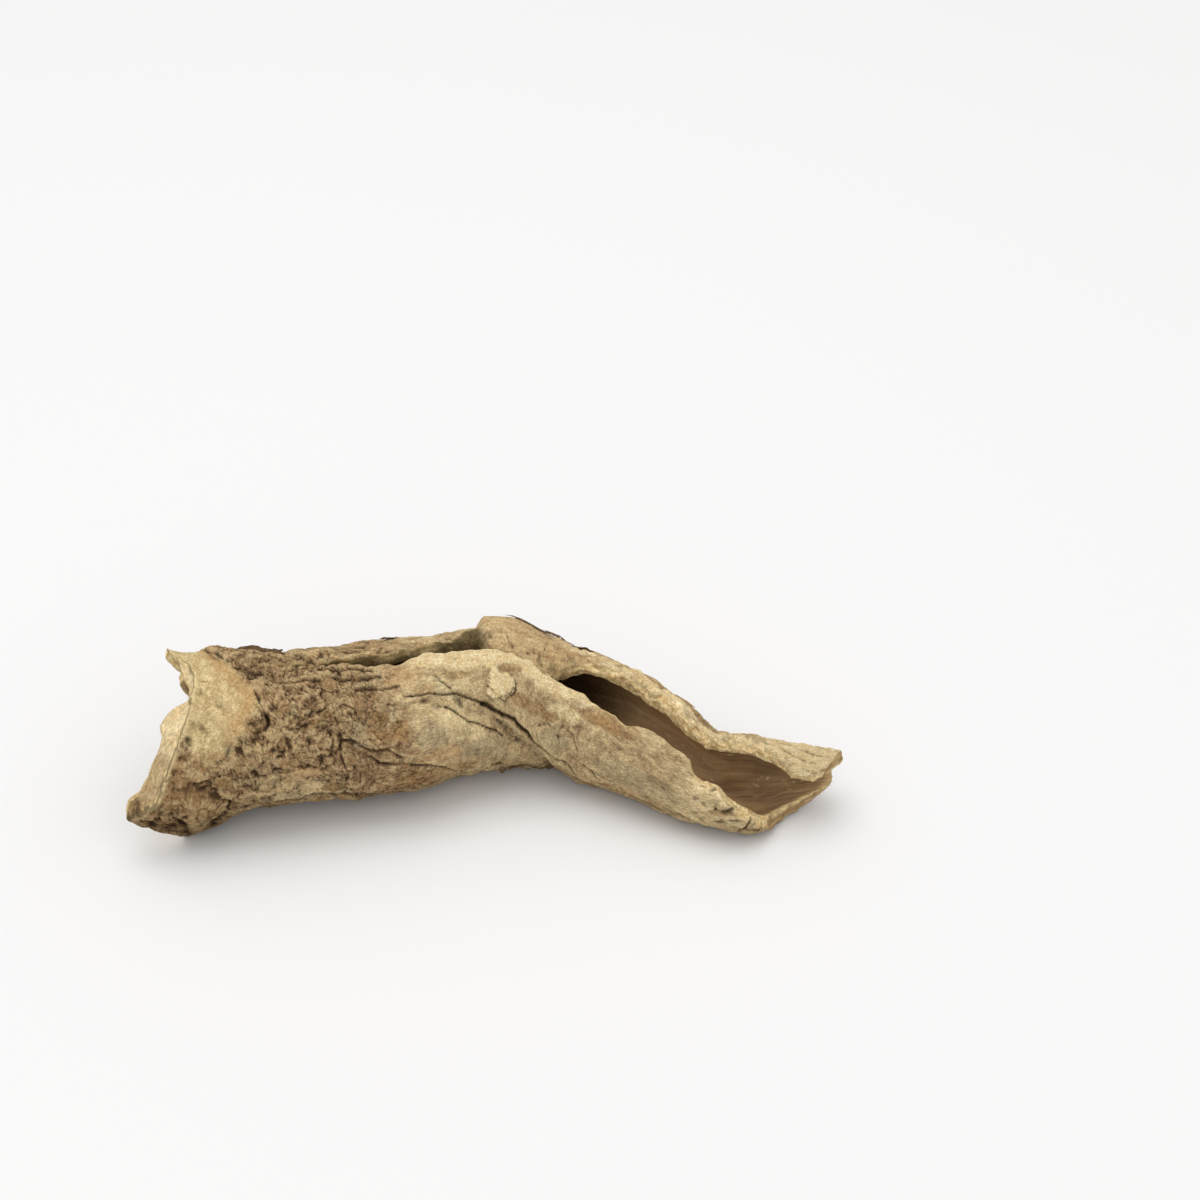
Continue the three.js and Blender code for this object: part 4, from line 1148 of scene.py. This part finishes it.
def buildFloor():
    # One flat square at Z 0, far wider than any view.
    half = studio["floorSize"] / 2
    corners = np.array([(-half, -half, 0), (half, -half, 0), (half, half, 0), (-half, half, 0)]) * mm
    mesh = bpy.data.meshes.new("floor")
    mesh.from_pydata(corners.tolist(), [], [(0, 1, 2, 3)])
    mesh.materials.append(floorMaterial())
    placeObject("floor", mesh)


def areaLight(name, size, power, place, target=(0, 0, 8)):
    # A round lamp turned towards its target: tipped from straight down, then turned about the vertical.
    light = bpy.data.lights.new(name, "AREA")
    light.shape = "DISK"
    light.size = size * mm
    light.energy = power
    lamp = placeObject(name, light)
    lamp.location = [p * mm for p in place]
    away = np.array(place, float) - np.array(target, float)
    lamp.rotation_euler = (
        np.arctan2(np.hypot(away[0], away[1]), away[2]), 0.0, np.arctan2(away[0], -away[1]),
    )


def buildLights():
    # A white tent whose glow rises smoothly from the horizon to the top, a soft key light and a weak fill.
    world = bpy.data.worlds.new("tent")
    world.use_nodes = True
    background = world.node_tree.nodes["Background"]
    background.inputs["Color"].default_value = linearColour(studio["tentTone"])
    way = addNode(world.node_tree, "ShaderNodeTexCoord", (), "Generated")
    upward = addNode(world.node_tree, "ShaderNodeSeparateXYZ", [way], "Z")
    sockets = [upward, 0.0, 1.0, studio["horizonStrength"], studio["topStrength"]]
    glow = addNode(world.node_tree, "ShaderNodeMapRange", sockets, **eased)
    world.node_tree.links.new(glow, background.inputs["Strength"])
    bpy.context.scene.world = world
    areaLight("keyLight", studio["keySize"], studio["keyPower"], studio["keyPlace"])
    areaLight("fillLight", studio["fillSize"], studio["fillPower"], studio["fillPlace"])
    bpy.context.scene.view_settings.view_transform = "Standard"


def buildCamera():
    # The eye lies back from the aim point, along the line through the aim's own pixel.
    tip = np.radians(photo["elevation"])
    forward, up = np.array([0, np.cos(tip), -np.sin(tip)]), np.array([0, np.sin(tip), np.cos(tip)])
    right = np.array([1.0, 0, 0])
    across = (photo["aimPixel"][0] - photo["middlePixel"]) / photo["focalPixels"]
    down = (photo["aimPixel"][1] - photo["middlePixel"]) / photo["focalPixels"]
    aim = np.array(photo["aim"]) + np.array(sheet["origin"])
    eye = aim - photo["depth"] * (forward + across * right - down * up)
    camera = bpy.data.cameras.new("photoCamera")
    camera.lens, camera.sensor_width = photo["focal"], photo["sensor"]
    holder = placeObject("photoCamera", camera)
    holder.location = eye * mm
    holder.rotation_euler = (np.radians(90) - tip, 0, 0)
    bpy.context.scene.camera = holder


outsideBark, insideBark, fibreEnds = (layeredMaterial(name) for name in looks)
print("materials ready")
places = barkOutside(outsideBark)
barkInside(insideBark)
borderLines = borders(*places)
tornEdge(borderLines, fibreEnds)
random = np.random.default_rng(seed)
tornFibres(borderLines, fibreEnds, random)
corkFlakes(outsideBark, random)
crumbs(fibreEnds, random)
buildFloor()
buildLights()
buildCamera()
print("studio ready")
